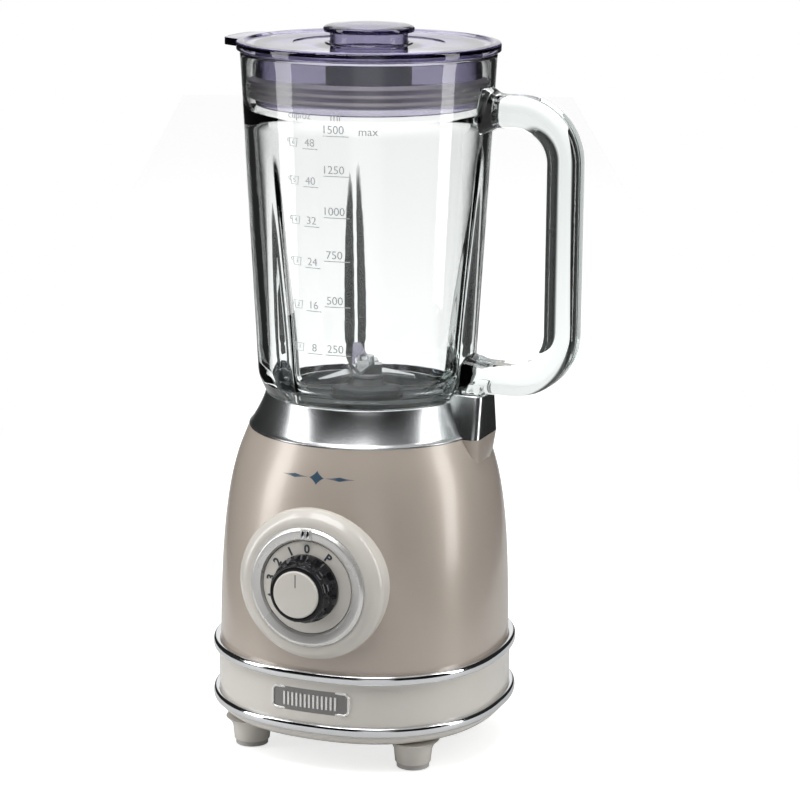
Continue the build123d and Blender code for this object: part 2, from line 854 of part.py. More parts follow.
def blade(reach, rise, level, turn):
    """Two sharpened arms on a flat hub: rise is how far the tips bend up."""
    thick = blade_thickness
    bend = 11.0
    side = outline(((0, level), (bend, level), (reach, level + rise), (reach, level + rise + thick),
                    (bend, level + thick), (0, level + thick)))
    arm = extrude(side, blade_width / 2, both=True)
    plan = Polygon((0, -blade_width / 2), (bend, -blade_width / 2), (reach, -1.5), (reach, 2.5),
                   (bend, blade_width / 2), (0, blade_width / 2), align=None)
    arm &= Pos(0, 0, level - 20) * extrude(plan, 50)
    both = arm + Rot(0, 0, 180) * arm
    return Rot(0, 0, turn) * (both - rod(shaft_radius, level - 1, level + thick + 1))


def blade_nut():
    low = blade_level + 2 * blade_thickness
    return extrude(Pos(0, 0, low) * RegularPolygon(7.0, 6), 5) - rod(shaft_radius, low - 1, low + 6)


# ---- Lid ----
def lid():
    plug_out = jug_mouth_radius - plug_clearance
    filler_out = filler_radius + filler_wall
    low = lid_under
    shape = lathe(
        (filler_radius, lid_face), (filler_out + 2, lid_face), (lid_radius - 5, lid_face, 1.0),
        (lid_radius - 3.2, lid_top, 1.5), (lid_radius, lid_top - 0.6, 1.6), (lid_radius, low, 0.6),
        (lid_radius - 2.2, low), (lid_radius - 2.2, low + 2.0), (plug_out, low + 2.0),
        (plug_out, lid_face - plug_depth, 0.8), (plug_out - 2.0, lid_face - plug_depth),
        (plug_out - 2.0, lid_face - lid_skin), (filler_out, lid_face - lid_skin),
        (filler_out, lid_face - filler_depth), (filler_radius, lid_face - filler_depth),
    )
    lug = Pos(-(lid_radius + tab_reach - 24) / 2, 0, low + 2.0) * extrude(
        RectangleRounded(tab_reach - lid_radius + 24, 2 * tab_half, 8), lid_edge - 2.0)
    return shape + (lug - rod(lid_radius - 6, low - 1, lid_top + 1))


def lid_gasket():
    plug_out = jug_mouth_radius - plug_clearance
    lip = jug_mouth_radius - gasket_clearance
    low = lid_face - plug_depth + 4
    high = low + gasket_height
    points = [(plug_out, low)]
    for start in (low, low + lip_pitch, low + 2 * lip_pitch):
        points += [(plug_out + lip_root, start), (lip, start + 1.0, 0.4), (lip, start + 2.2, 0.4),
                   (plug_out + lip_root, start + 3.4)]
    return lathe(*points, (plug_out + lip_root, high), (plug_out, high))


def filler_cap():
    neck = filler_radius - cap_clearance
    top = lid_face + cap_neck + cap_disc
    low = lid_face - filler_depth + 2
    return lathe(
        (0, top + cap_dome), (cap_radius - 6, top + cap_dome - 0.5), (cap_radius, top - 0.6, 1.6),
        (cap_radius, top - cap_disc, 0.8), (neck, top - cap_disc), (neck, low), (neck - filler_wall, low),
        (neck - filler_wall, top - cap_disc + 0.6), (0, top - cap_disc + 0.6),
    )


nodes = {
    "housing_shell": housing_shell(),
    "base_pan": base_pan(),
    "base_band": base_band(),
    "trim_ring_lower": trim_ring(pan_top),
    "trim_ring_upper": trim_ring(band_top),
    "foot_pads": foot_pads(),
    "base_screws": base_screws(),
    "badge_plate": badge_plate(),
    "cord_gland": cord_gland(),
    "collar": collar(),
    "jug_seat": jug_seat(),
    "seat_pad": seat_pad(),
    "safety_switch": safety_switch(),
    "dial_bezel": dial_bezel(),
    "dial_ring": dial_ring(),
    "dial_index": dial_index(),
    "rotary_switch": rotary_switch(),
    "control_board": control_board(),
    "stator_core": stator(),
    "field_coils": field_coils(),
    "motor_upper_bracket": motor_upper_bracket(),
    "motor_lower_bracket": motor_lower_bracket(),
    "upper_bearing": bearing(motor_top - bearing_height + 1),
    "lower_bearing": bearing(lower_bracket_top - bearing_height),
    "motor_bolts": motor_bolts(),
    "motor_mounts": motor_mounts(),
    "mount_screws": mount_screws(),
    "brush_holders": brush_holders(),
    "carbon_brushes": carbon_brushes(),
    "motor_shaft": motor_shaft(),
    "rotor_core": rotor_core(),
    "rotor_windings": rotor_windings(),
    "commutator": commutator(),
    "cooling_fan": cooling_fan(),
    "drive_coupling": drive_coupling(),
    "interlock_pin": interlock_pin(),
    "dial_skirt": dial_skirt(),
    "knob_grip": knob_grip(),
    "knob_cap": knob_cap(),
    "selector_shaft": selector_shaft(),
    "glass_jug": glass_jug(),
    "blade_holder": blade_holder(),
    "blade_seal": blade_seal(),
    "blade_bushes": blade_bushes(),
    "blade_shaft": blade_shaft(),
    "blade_washer": blade_washer(),
    "blade_lower": blade(blade_reach_down, -4.0, blade_level, 35),
    "blade_upper": blade(blade_reach_up, 9.0, blade_level + blade_thickness, 125),
    "blade_nut": blade_nut(),
    "driven_coupling": driven_coupling(),
    "lid": lid(),
    "lid_gasket": lid_gasket(),
    "filler_cap": filler_cap(),
}

boxes = [shape.bounding_box() for shape in nodes.values()]
tower_x = -(min(box.min.X for box in boxes) + max(box.max.X for box in boxes)) / 2
tower_y = -(min(box.min.Y for box in boxes) + max(box.max.Y for box in boxes)) / 2

os.makedirs("parts", exist_ok=True)
for name, shape in nodes.items():
    export_step(Pos(tower_x, tower_y, 0) * shape, f"parts/{name}.step")
print(f"{len(nodes)} nodes, tower axis at {tower_x:.3f}, {tower_y:.3f}")
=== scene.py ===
# %% [markdown]
# # A countertop blender, piece by piece
# The frame is the engineer's model: every piece has its place there already, so this
# lesson reads positions from it and spends its time on surfaces and finishes. All
# lengths are metres. We load the frame.

# %% Load the frame
import math
import bmesh
import bpy
from mathutils import Matrix, Vector


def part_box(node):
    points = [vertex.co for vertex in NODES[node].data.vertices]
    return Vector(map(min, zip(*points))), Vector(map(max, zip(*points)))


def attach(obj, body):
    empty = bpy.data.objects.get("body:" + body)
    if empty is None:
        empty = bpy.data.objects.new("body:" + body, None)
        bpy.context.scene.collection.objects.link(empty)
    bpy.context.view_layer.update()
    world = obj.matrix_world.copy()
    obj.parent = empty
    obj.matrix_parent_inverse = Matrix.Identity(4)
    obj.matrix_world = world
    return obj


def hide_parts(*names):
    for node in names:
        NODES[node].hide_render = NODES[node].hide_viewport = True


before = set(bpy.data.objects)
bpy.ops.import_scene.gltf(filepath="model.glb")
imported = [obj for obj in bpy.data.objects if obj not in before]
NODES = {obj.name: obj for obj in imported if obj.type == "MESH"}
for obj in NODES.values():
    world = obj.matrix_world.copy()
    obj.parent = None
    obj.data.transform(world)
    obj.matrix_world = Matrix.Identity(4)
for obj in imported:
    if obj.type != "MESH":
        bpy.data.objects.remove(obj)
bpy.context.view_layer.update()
MM = 0.001
print(len(NODES), "nodes loaded")

# %% [markdown]
# ## Where things are
# The blender is a tower on one vertical axis, the motor shaft. Its trim ring is
# symmetric about that axis, so the middle of the ring's box is the axis. Heights come
# from the boxes of the pieces themselves, never from guesses.

# %% The tower axis and the levels of the base
def half_width(node):
    """Half of a node's width, from left to right."""
    low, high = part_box(node)
    return (high[0] - low[0]) / 2


def front_face(node):
    """How far a node's front stands out from the tower's axis."""
    return AXIS.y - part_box(node)[0][1]


def middle_z(node):
    low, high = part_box(node)
    return (low[2] + high[2]) / 2


low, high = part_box("trim_ring_lower")
AXIS = Vector(((low[0] + high[0]) / 2, (low[1] + high[1]) / 2, 0))
RING_HALF = half_width("trim_ring_lower")
RING_Z = {"lower": middle_z("trim_ring_lower"), "upper": middle_z("trim_ring_upper")}
low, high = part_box("trim_ring_upper")
RING_TALL = high[2] - low[2]
BAND_LOW, BAND_HIGH = (corner[2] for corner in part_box("base_band"))
BAND_HALF = half_width("base_band")
HOUSING_LOW = BAND_HIGH + 1.0 * MM
low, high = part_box("collar")
COLLAR_LOW, LUG_TOP = low[2], high[2]
COLLAR_HALF, LUG_REACH = AXIS.x - low[0], high[0] - AXIS.x
BASE_POWER = 2.3
print("axis", [round(v, 4) for v in AXIS], "band", round(BAND_LOW, 4), round(BAND_HIGH, 4))

# %% [markdown]
# ## Making surfaces from rows of points
# Most of a blender is turned or moulded: one outline carried round an axis. So the
# basic tool takes rows of points, one closed row per level, and joins them with quads.
# A path that closes on itself makes a wall with a real thickness, which glass needs.
# The alternative, a primitive with modifiers, gives less control of each fillet.

# %% Grid and lathe helpers
def rounded_path(points, steps=6):
    """Points along an outline; a third number in a point rounds that corner."""
    path = []
    count = len(points)
    for i, point in enumerate(points):
        corner = Vector(point[:2])
        radius = point[2] if len(point) > 2 else 0
        if radius == 0:
            path.append(tuple(corner))
            continue
        before = (Vector(points[i - 1][:2]) - corner).normalized()
        after = (Vector(points[(i + 1) % count][:2]) - corner).normalized()
        half = before.angle(after) / 2
        inward = (before + after).normalized()
        centre = corner + inward * (radius / math.sin(half))
        start = corner + before * (radius / math.tan(half)) - centre
        sweep = start.angle_signed(corner + after * (radius / math.tan(half)) - centre)
        for k in range(steps + 1):
            spoke = start.copy()
            spoke.rotate(Matrix.Rotation(-sweep * k / steps, 2))
            path.append(tuple(centre + spoke))
    return path


def grid_faces(rows, columns, closed_rows, closed_columns=True):
    faces = []
    for i in range(rows if closed_rows else rows - 1):
        for j in range(columns if closed_columns else columns - 1):
            a, b = i * columns, (i + 1) % rows * columns
            k = (j + 1) % columns
            faces.append((a + j, a + k, b + k, b + j))
    return faces


def new_piece(name, verts, faces, sharp=35.0):
    """A smooth-shaded mesh piece whose edges stay crisp above the given angle."""
    mesh = bpy.data.meshes.new(name)
    mesh.from_pydata([tuple(v) for v in verts], [], faces)
    return finish_mesh(name, mesh, sharp)


def add_object(name, mesh, sharp):
    mesh.shade_smooth()
    mesh.set_sharp_from_angle(angle=math.radians(sharp))
    piece = bpy.data.objects.new(name, mesh)
    bpy.context.scene.collection.objects.link(piece)
    return piece


def finish_mesh(name, mesh, sharp=35.0):
    """Welds double points, drops empty faces and turns the normals outwards."""
    work = bmesh.new()
    work.from_mesh(mesh)
    bmesh.ops.remove_doubles(work, verts=work.verts, dist=1e-6)
    bmesh.ops.dissolve_degenerate(work, edges=work.edges, dist=1e-7)
    bmesh.ops.recalc_face_normals(work, faces=work.faces)
    work.to_mesh(mesh)
    work.free()
    return add_object(name, mesh, sharp)


def turned(name, points, columns=128, steps=6, shape=None, sharp=35.0, place=None):
    """A closed outline (radius, height) carried round the axis. shape may change
    the radius at each angle and height; place may stand the piece up elsewhere."""
    path = rounded_path(points, steps)
    verts = []
    for index, (radius, height) in enumerate(path):
        for j in range(columns):
            angle = 2 * math.pi * j / columns
            r = radius if shape is None else shape(radius, height, angle, index)
            verts.append(Vector((r * math.cos(angle), r * math.sin(angle), height)))
    if place is None:
        place = Matrix.Translation(AXIS)
    verts = [place @ v for v in verts]
    return new_piece(name, verts, grid_faces(len(path), columns, True), sharp)


def squircle_radius(half, power, angle):
    """Radius of a rounded square: power 2 is a circle, larger is squarer."""
    c, s = abs(math.cos(angle)), abs(math.sin(angle))
    return half / (c ** power + s ** power) ** (1 / power)


def rounded_rectangle(half_x, half_y, corner, steps, inset=0.0):
    """Points round a rectangle with round corners, drawn that far inside its edge."""
    points = []
    reach = corner - inset
    for sx, sy, start in ((1, 1, 0), (-1, 1, 90), (-1, -1, 180), (1, -1, 270)):
        for k in range(steps + 1):
            angle = math.radians(start + 90 * k / steps)
            points.append((sx * (half_x - corner) + reach * math.cos(angle),
                           sy * (half_y - corner) + reach * math.sin(angle)))
    return points


def join(name, pieces, sharp=35.0):
    """One object from several, with its place in its mesh."""
    work = bmesh.new()
    for piece in pieces:
        mesh = piece.data
        work.from_mesh(mesh)
        bpy.data.objects.remove(piece)
        bpy.data.meshes.remove(mesh)
    mesh = bpy.data.meshes.new(name)
    work.to_mesh(mesh)
    work.free()
    return add_object(name, mesh, sharp)


def settle(piece, material, body, nodes=()):
    """Finish, body and slot of a piece, and the nodes it stands for."""
    piece.data.materials.clear()
    piece.data.materials.append(material)
    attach(piece, body)
    if nodes:
        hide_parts(*nodes)
    print(piece.name, len(piece.data.polygons), "faces on", body)
    return piece


print("mesh helpers ready")

# %% [markdown]
# ## Shared surface effects
# Real finishes are never one flat value. Three effects return on many materials: a fine
# grain that moves the surface a few microns, soft smudges that change the gloss, and a
# slow drift of tone. Each is a small node group that puts out only values, so every
# material can use it with its own numbers, and the shader itself stays in the material.

# %% Node groups for grain, smudges and tone
def wire(tree, *pairs):
    """Links each (output, input) pair."""
    for source, target in pairs:
        tree.links.new(source, target)


def set_inputs(node, values):
    for label, value in values.items():
        node.inputs[label].default_value = value


def add_math(tree, operation, *operands):
    """A Math node; an operand is a number or an output. Gives its output."""
    node = tree.nodes.new("ShaderNodeMath")
    node.operation = operation
    for socket, operand in zip(node.inputs, operands):
        if isinstance(operand, bpy.types.NodeSocket):
            tree.links.new(operand, socket)
        else:
            socket.default_value = operand
    return node.outputs[0]


def noise_group(name, detail, scale, low, high):
    """Noise on object coordinates, spread between the group's two limits."""
    group = bpy.data.node_groups.new(name, "ShaderNodeTree")
    add = group.interface.new_socket
    for label, default in (("Scale", scale), ("Low", low), ("High", high)):
        add(name=label, in_out="INPUT", socket_type="NodeSocketFloat").default_value = default
    add(name="Value", in_out="OUTPUT", socket_type="NodeSocketFloat")
    nodes = group.nodes
    entry, leave = nodes.new("NodeGroupInput"), nodes.new("NodeGroupOutput")
    where, noise = nodes.new("ShaderNodeTexCoord"), nodes.new("ShaderNodeTexNoise")
    spread = nodes.new("ShaderNodeMapRange")
    set_inputs(noise, {"Detail": detail})
    set_inputs(spread, {"From Min": 0.35, "From Max": 0.65})
    wire(group, (where.outputs["Object"], noise.inputs["Vector"]),
         (entry.outputs["Scale"], noise.inputs["Scale"]),
         (noise.outputs["Fac"], spread.inputs["Value"]),
         (entry.outputs["Low"], spread.inputs["To Min"]),
         (entry.outputs["High"], spread.inputs["To Max"]),
         (spread.outputs["Result"], leave.inputs["Value"]))
    print("group", name)
    return group


GRAIN = noise_group("surface_grain", 2.0, 900.0, 0.0, 1.0)
SMUDGE = noise_group("handling_smudge", 5.0, 28.0, 0.2, 0.3)

# %% [markdown]
# ## One builder for plain finishes
# Paint, plastic, rubber and metal differ in a few numbers: colour, metal or not, gloss,
# and the size of the grain. The builder sets constants on the shader's own sockets and
# lets only what really varies, gloss and bump, come from the groups.

# %% Finish builder
def add_group(material, group, **values):
    node = material.node_tree.nodes.new("ShaderNodeGroup")
    node.node_tree = group
    set_inputs(node, values)
    return node.outputs["Value"]


def new_material(name, smudge, gloss, grain, bump_depth, values):
    """A Principled material with the shared gloss and grain; gives it and its shader."""
    material = bpy.data.materials.new(name)
    material.use_nodes = True
    shader = material.node_tree.nodes["Principled BSDF"]
    set_inputs(shader, values)
    bump = material.node_tree.nodes.new("ShaderNodeBump")
    set_inputs(bump, {"Strength": grain[1], "Distance": bump_depth})
    rough = add_group(material, SMUDGE, Scale=smudge, Low=gloss[0], High=gloss[1])
    wire(material.node_tree, (rough, shader.inputs["Roughness"]),
         (add_group(material, GRAIN, Scale=grain[0]), bump.inputs["Height"]),
         (bump.outputs["Normal"], shader.inputs["Normal"]))
    return material, shader


def finish(name, colour, tone, gloss, grain, **extra):
    """A plain finish: tone is how far the colour drifts over the piece, gloss two
    roughnesses, grain the scale and strength of the bump."""
    material, shader = new_material(name, 28.0, gloss, grain, 0.2 * MM, extra)
    mix = material.node_tree.nodes.new("ShaderNodeMix")
    mix.data_type = "RGBA"
    mix.inputs["A"].default_value = (*(c * (1 - tone) for c in colour), 1)
    mix.inputs["B"].default_value = (*(min(1.0, c * (1 + tone)) for c in colour), 1)
    drift = add_group(material, SMUDGE, Scale=9.0, Low=0.0, High=1.0)
    wire(material.node_tree, (drift, mix.inputs["Factor"]),
         (mix.outputs["Result"], shader.inputs["Base Color"]))
    return material


# Each line: name, colour, tone, gloss from and to, scale and strength of the grain.
PAINT = finish("beige_satin_paint", (0.50, 0.435, 0.375), 0.02, (0.34, 0.40), (2600.0, 0.06),
               **{"Metallic": 0.2, "Coat Weight": 0.6, "Coat Roughness": 0.16})
CREAM = finish("cream_gloss_plastic", (0.69, 0.66, 0.61), 0.015, (0.16, 0.22), (700.0, 0.03),
               **{"Subsurface Weight": 0.08, "Subsurface Radius": (0.004, 0.003, 0.002),
                  "Coat Weight": 0.25})
CHROME = finish("polished_chrome", (0.74, 0.75, 0.76), 0.01, (0.06, 0.11), (400.0, 0.008),
                Metallic=1.0)
COLLAR_METAL = finish("soft_polished_metal", (0.56, 0.57, 0.58), 0.01, (0.22, 0.27),
                      (500.0, 0.02), Metallic=1.0)
SATIN = finish("satin_silver", (0.52, 0.51, 0.50), 0.06, (0.28, 0.40), (1800.0, 0.12),
               Metallic=0.9)
RING = finish("light_brushed_metal", (0.80, 0.79, 0.77), 0.02, (0.22, 0.30), (1400.0, 0.05),
              Metallic=0.6)
PLATE = finish("dark_satin_metal", (0.24, 0.235, 0.23), 0.05, (0.35, 0.45), (1800.0, 0.12),
               Metallic=0.8)
STEEL = finish("blade_steel", (0.66, 0.67, 0.68), 0.05, (0.12, 0.24), (1200.0, 0.08),
               Metallic=1.0)
BLACK = finish("black_gloss_plastic", (0.012, 0.012, 0.014), 0.2, (0.10, 0.18), (600.0, 0.04),
               **{"Specular IOR Level": 0.25})
DARK = finish("dark_moulded_plastic", (0.035, 0.036, 0.038), 0.15, (0.42, 0.55), (1500.0, 0.25))
GREY = finish("grey_moulded_plastic", (0.20, 0.21, 0.21), 0.06, (0.35, 0.46), (1300.0, 0.2))
PAD = finish("pale_foot_rubber", (0.52, 0.50, 0.48), 0.1, (0.70, 0.82), (1000.0, 0.4))
RUBBER = finish("dark_rubber", (0.10, 0.10, 0.10), 0.1, (0.70, 0.82), (1000.0, 0.4))
COPPER = finish("copper_wire", (0.62, 0.27, 0.12), 0.12, (0.25, 0.4), (2500.0, 0.5), Metallic=0.9)
BRONZE = finish("sintered_bronze", (0.52, 0.36, 0.16), 0.1, (0.35, 0.5), (2200.0, 0.4),
                Metallic=1.0)
IRON = finish("motor_laminations", (0.25, 0.25, 0.27), 0.1, (0.4, 0.55), (1800.0, 0.4),
              Metallic=1.0)
BOARD = finish("board_laminate", (0.05, 0.20, 0.09), 0.1, (0.3, 0.45), (900.0, 0.2))
INK = finish("dark_print", (0.05, 0.06, 0.075), 0.1, (0.35, 0.45), (900.0, 0.05))
BLUE_INK = finish("blue_print", (0.045, 0.09, 0.14), 0.1, (0.3, 0.4), (900.0, 0.05))
FROST = finish("frosted_print", (0.56, 0.58, 0.60), 0.05, (0.45, 0.6), (2000.0, 0.2))
print(len(bpy.data.materials), "plain finishes")

# %% [markdown]
# ## Glass and clear plastic
# Thick glass gets its green from depth, so the tint is an absorbing volume inside a
# closed mesh, not a colour on its skin. Lamps have to reach what stands inside, so for
# shadow rays the surface is swapped for a tinted transparent one. The same swap lets a
# ray that has bounced many times go on, or walls behind walls would end in black. The
# honest way, caustics and endless bounces, would need far longer renders.

# %% Clear materials
def clear(name, tint, shadow, gloss, depth_colour, depth, ior, ripple=0.0, far=11.5, **extra):
    """shadow tints what lamps send through, depth is how strongly the volume absorbs,
    and far is the number of bounces after which a ray passes unbent."""
    values = {"Base Color": (*tint, 1), "Transmission Weight": 1.0, "IOR": ior, **extra}
    material, shader = new_material(name, 20.0, gloss, (60.0, ripple), 0.4 * MM, values)
    tree = material.node_tree
    passing, path, swap, volume = (tree.nodes.new("ShaderNode" + kind) for kind in (
        "BsdfTransparent", "LightPath", "MixShader", "VolumeAbsorption"))
    set_inputs(passing, {"Color": (*shadow, 1)})
    set_inputs(volume, {"Color": (*depth_colour, 1), "Density": depth})
    deep = add_math(tree, "GREATER_THAN", path.outputs["Ray Depth"], far)
    either = add_math(tree, "MAXIMUM", path.outputs["Is Shadow Ray"], deep)
    leave = tree.nodes["Material Output"]
    wire(tree, (either, swap.inputs["Fac"]), (shader.outputs["BSDF"], swap.inputs[1]),
         (passing.outputs["BSDF"], swap.inputs[2]), (swap.outputs["Shader"], leave.inputs["Surface"]),
         (volume.outputs["Volume"], leave.inputs["Volume"]))
    return material


GLASS = clear("jug_glass", (1.0, 1.0, 1.0), (0.93, 0.96, 0.95), (0.0, 0.02),
              depth_colour=(0.28, 0.50, 0.42), depth=10.0, ior=1.5, ripple=0.04)
SMOKE = clear("smoky_clear_plastic", (0.60, 0.58, 0.68), (0.62, 0.60, 0.72), (0.02, 0.06),
              depth_colour=(0.36, 0.33, 0.52), depth=115.0, ior=1.46, far=5.5,
              **{"Specular IOR Level": 0.3})
SILICONE = clear("translucent_silicone", (0.50, 0.47, 0.46), (0.5, 0.5, 0.5), (0.32, 0.42),
                 depth_colour=(0.62, 0.58, 0.55), depth=60.0, ior=1.41, ripple=0.1)
print(len(bpy.data.materials), "materials")

# %% [markdown]
# ## The housing
# The beige shell is a rounded square at the foot that turns into a circle under the
# collar, with a shoulder that leans in ever faster. We give a few levels as shares of
# the height and let a smooth curve run through them, for the half width and for the
# squareness alike, then add a wall so that the shell is a real moulding.

# %% Housing shell
def through(points, at):
    """Smooth curve (Catmull-Rom) through (place, value) points."""
    last = len(points) - 2
    i = max(k for k in range(last + 1) if k == 0 or points[k][0] <= at)
    x0, y0 = points[i]
    x1, y1 = points[i + 1]
    before = points[i - 1] if i > 0 else (2 * x0 - x1, 2 * y0 - y1)
    after = points[i + 2] if i < last else (2 * x1 - x0, 2 * y1 - y0)
    t = (at - x0) / (x1 - x0)
    slope0 = (y1 - before[1]) / (x1 - before[0]) * (x1 - x0)
    slope1 = (after[1] - y0) / (after[0] - x0) * (x1 - x0)
    return ((2 * t**3 - 3 * t**2 + 1) * y0 + (t**3 - 2 * t**2 + t) * slope0
            + (3 * t**2 - 2 * t**3) * y1 + (t**3 - t**2) * slope1)


LEAN = ((0.0, 0.8), (0.28, 1.4), (0.53, 2.6), (0.73, 5.2), (0.87, 8.8), (1.0, 14.6))
SQUARE = ((0.0, 2.3), (0.28, 2.28), (0.53, 2.2), (0.73, 2.12), (0.87, 2.04), (1.0, 2.0))
WALL = 2.6 * MM


def housing_level(share, inset):
    half = BAND_HALF - through(LEAN, share) * MM - inset
    return half, through(SQUARE, share), HOUSING_LOW + share * (COLLAR_LOW - HOUSING_LOW)


def squircle_wall(name, levels, columns=192, sharp=35.0):
    verts = []
    for half, power, height in levels:
        for j in range(columns):
            angle = 2 * math.pi * j / columns
            r = squircle_radius(half, power, angle)
            verts.append(AXIS + Vector((r * math.cos(angle), r * math.sin(angle), height)))
    return new_piece(name, verts, grid_faces(len(levels), columns, True), sharp)


ROWS = 40
outside = [housing_level(k / ROWS, 0) for k in range(ROWS + 1)]
inside = [housing_level(k / ROWS, WALL) for k in range(ROWS, -1, -1)]
shell = squircle_wall("housing_wall", outside + inside)


def rounded_block(name, sections, corner):
    """Closed block through rounded rectangles: (x from, x to, half width, height)."""
    verts = []
    for x0, x1, half, height in sections:
        for x, y in rounded_rectangle((x1 - x0) / 2, half, corner, 4):
            verts.append(AXIS + Vector(((x0 + x1) / 2 + x, y, height)))
    columns = len(verts) // len(sections)
    faces = grid_faces(len(sections), columns, False)
    faces += [tuple(range(columns))[::-1], tuple(range(len(verts) - columns, len(verts)))]
    return new_piece(name, verts, faces)


LUG_INSIDE = 50 * MM
lug = rounded_block("housing_lug", [
    (LUG_INSIDE, LUG_REACH - 2.5 * MM, 12 * MM, COLLAR_LOW - 18 * MM),
    (LUG_INSIDE, LUG_REACH - 0.8 * MM, 15 * MM, COLLAR_LOW - 9 * MM),
    (LUG_INSIDE, LUG_REACH, 17 * MM, COLLAR_LOW)], 5 * MM)
settle(join("painted_housing", [shell, lug]), PAINT, "base", ["housing_shell"])

# %% [markdown]
# ## Collar
# The jug drops into a polished collar. Its outline is hollow, like a trumpet, and a thin
# bright bead closes it at the bottom. The lug beside it guides the handle's foot.

# %% Collar
COLLAR_TOP = LUG_TOP - 4.2 * MM
COLLAR_TALL = COLLAR_TOP - COLLAR_LOW
COLLAR_TOP_R = 56.0 * MM
COLLAR_WALL = 1.8 * MM
CURVE = 14


def flare(share):
    """Radius of the collar at a share of its height, hollow towards the top."""
    return COLLAR_HALF + (COLLAR_TOP_R - COLLAR_HALF) * (1 - (1 - share) ** 1.35)


outer = [(flare(k / CURVE), COLLAR_LOW + COLLAR_TALL * k / CURVE) for k in range(1, CURVE)]
outline = [(COLLAR_HALF - COLLAR_WALL, COLLAR_LOW), (COLLAR_HALF, COLLAR_LOW, 0.25 * MM),
           (COLLAR_HALF, COLLAR_LOW + 0.9 * MM, 0.2 * MM)] + outer
outline += [(COLLAR_TOP_R, COLLAR_TOP, 0.35 * MM), (COLLAR_TOP_R - COLLAR_WALL, COLLAR_TOP, 0.3 * MM)]
outline += [(r - COLLAR_WALL, z) for r, z in reversed(outer)]
ring = turned("collar_ring", outline, columns=192, sharp=50)
lug = rounded_block("collar_lug", [
    (LUG_INSIDE, LUG_REACH, 17 * MM, COLLAR_LOW),
    (LUG_INSIDE, LUG_REACH, 12.5 * MM, LUG_TOP - 0.6 * MM),
    (LUG_INSIDE, LUG_REACH - 0.5 * MM, 12.0 * MM, LUG_TOP)], 4.5 * MM)
settle(join("polished_collar", [ring, lug]), COLLAR_METAL, "base", ["collar"])

# %% [markdown]
# ## Trim rings, band and pan
# Two polished rings are clamped between the mouldings. A half-round outline carried
# along the rounded square gives the soft highlight that runs along each of them.

# %% Rings, band and pan
def trim_ring(name, middle):
    tall = RING_TALL / 2
    levels = [(BAND_HALF - 1.0 * MM, BASE_POWER, middle - tall + 0.4 * MM)]
    swell = RING_HALF - BAND_HALF - 0.65 * MM
    for k in range(13):
        angle = math.radians(-90 + 180 * k / 12)
        bulge = abs(math.cos(angle)) ** 0.55
        lift = math.copysign(abs(math.sin(angle)) ** 0.8, angle)
        levels.append((BAND_HALF + 0.6 * MM + swell * bulge, BASE_POWER, middle + tall * lift))
    levels.append((BAND_HALF - 1.0 * MM, BASE_POWER, middle + tall - 0.4 * MM))
    return squircle_wall(name, levels, columns=256, sharp=60)


for label, middle in RING_Z.items():
    ring = trim_ring("polished_ring_" + label, middle)
    settle(ring, CHROME, "base", ["trim_ring_" + label])

band = squircle_wall("cream_band", [
    (BAND_HALF, BASE_POWER, BAND_LOW), (BAND_HALF, BASE_POWER, BAND_HIGH),
    (BAND_HALF - WALL, BASE_POWER, BAND_HIGH), (BAND_HALF - WALL, BASE_POWER, BAND_LOW)], columns=256)
settle(band, CREAM, "base", ["base_band"])

PAN_LOW, PAN_TOP = 15.0 * MM, BAND_LOW - 1.0 * MM
FOOT_R, WELL_R = 9.0 * MM, 4.2 * MM
FOOT_SPREAD = (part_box("foot_pads")[1][0] - AXIS.x) - FOOT_R
levels = []
for k in range(13):
    angle = math.radians(90 * k / 12)
    levels.append((BAND_HALF - 13.5 * MM * (1 - math.sin(angle)), BASE_POWER,
                   PAN_LOW + 7.0 * MM * (1 - math.cos(angle))))
levels += [
    (BAND_HALF, BASE_POWER, PAN_TOP), (BAND_HALF - WALL, BASE_POWER, PAN_TOP),
    (BAND_HALF - WALL, BASE_POWER, PAN_LOW + 8 * MM),
    (BAND_HALF - 16 * MM, BASE_POWER, PAN_LOW + 2.5 * MM),
    (1 * MM, 2.0, PAN_LOW + 2.5 * MM), (1 * MM, 2.0, PAN_LOW)]
pan = squircle_wall("pan_wall", levels, columns=192, sharp=50)
feet = []
for sx in (-1, 1):
    for sy in (-1, 1):
        place = Matrix.Translation(AXIS + Vector((sx * FOOT_SPREAD, sy * FOOT_SPREAD, 0)))
        feet.append(turned("foot", [
            (WELL_R, 2.5 * MM), (9.8 * MM, 2.5 * MM, 0.8 * MM), (10.8 * MM, 12.5 * MM, 8 * MM),
            (14.5 * MM, PAN_LOW + 0.6 * MM), (WELL_R, PAN_LOW + 0.6 * MM)], columns=48, place=place))
settle(join("cream_pan", [pan] + feet), CREAM, "base", ["base_pan"])

# %% [markdown]
# ## Bars in a row
# The badge's ribs and the marks' underlines are both rows of equal bars, so one
# Geometry Nodes tree makes them: a line of points, one bar on each, realized and
# painted. A script loop would do too, but a tree keeps its few numbers as named inputs.

# %% A tree of bars
def new_tree(name, inputs):
    """A Geometry Nodes tree with named inputs; gives it and its two end nodes."""
    tree = bpy.data.node_groups.new(name, "GeometryNodeTree")
    add = tree.interface.new_socket
    add(name="Geometry", in_out="OUTPUT", socket_type="NodeSocketGeometry")
    for label, kind in inputs.items():
        add(name=label, in_out="INPUT", socket_type="NodeSocket" + kind)
    return tree, tree.nodes.new("NodeGroupInput"), tree.nodes.new("NodeGroupOutput")


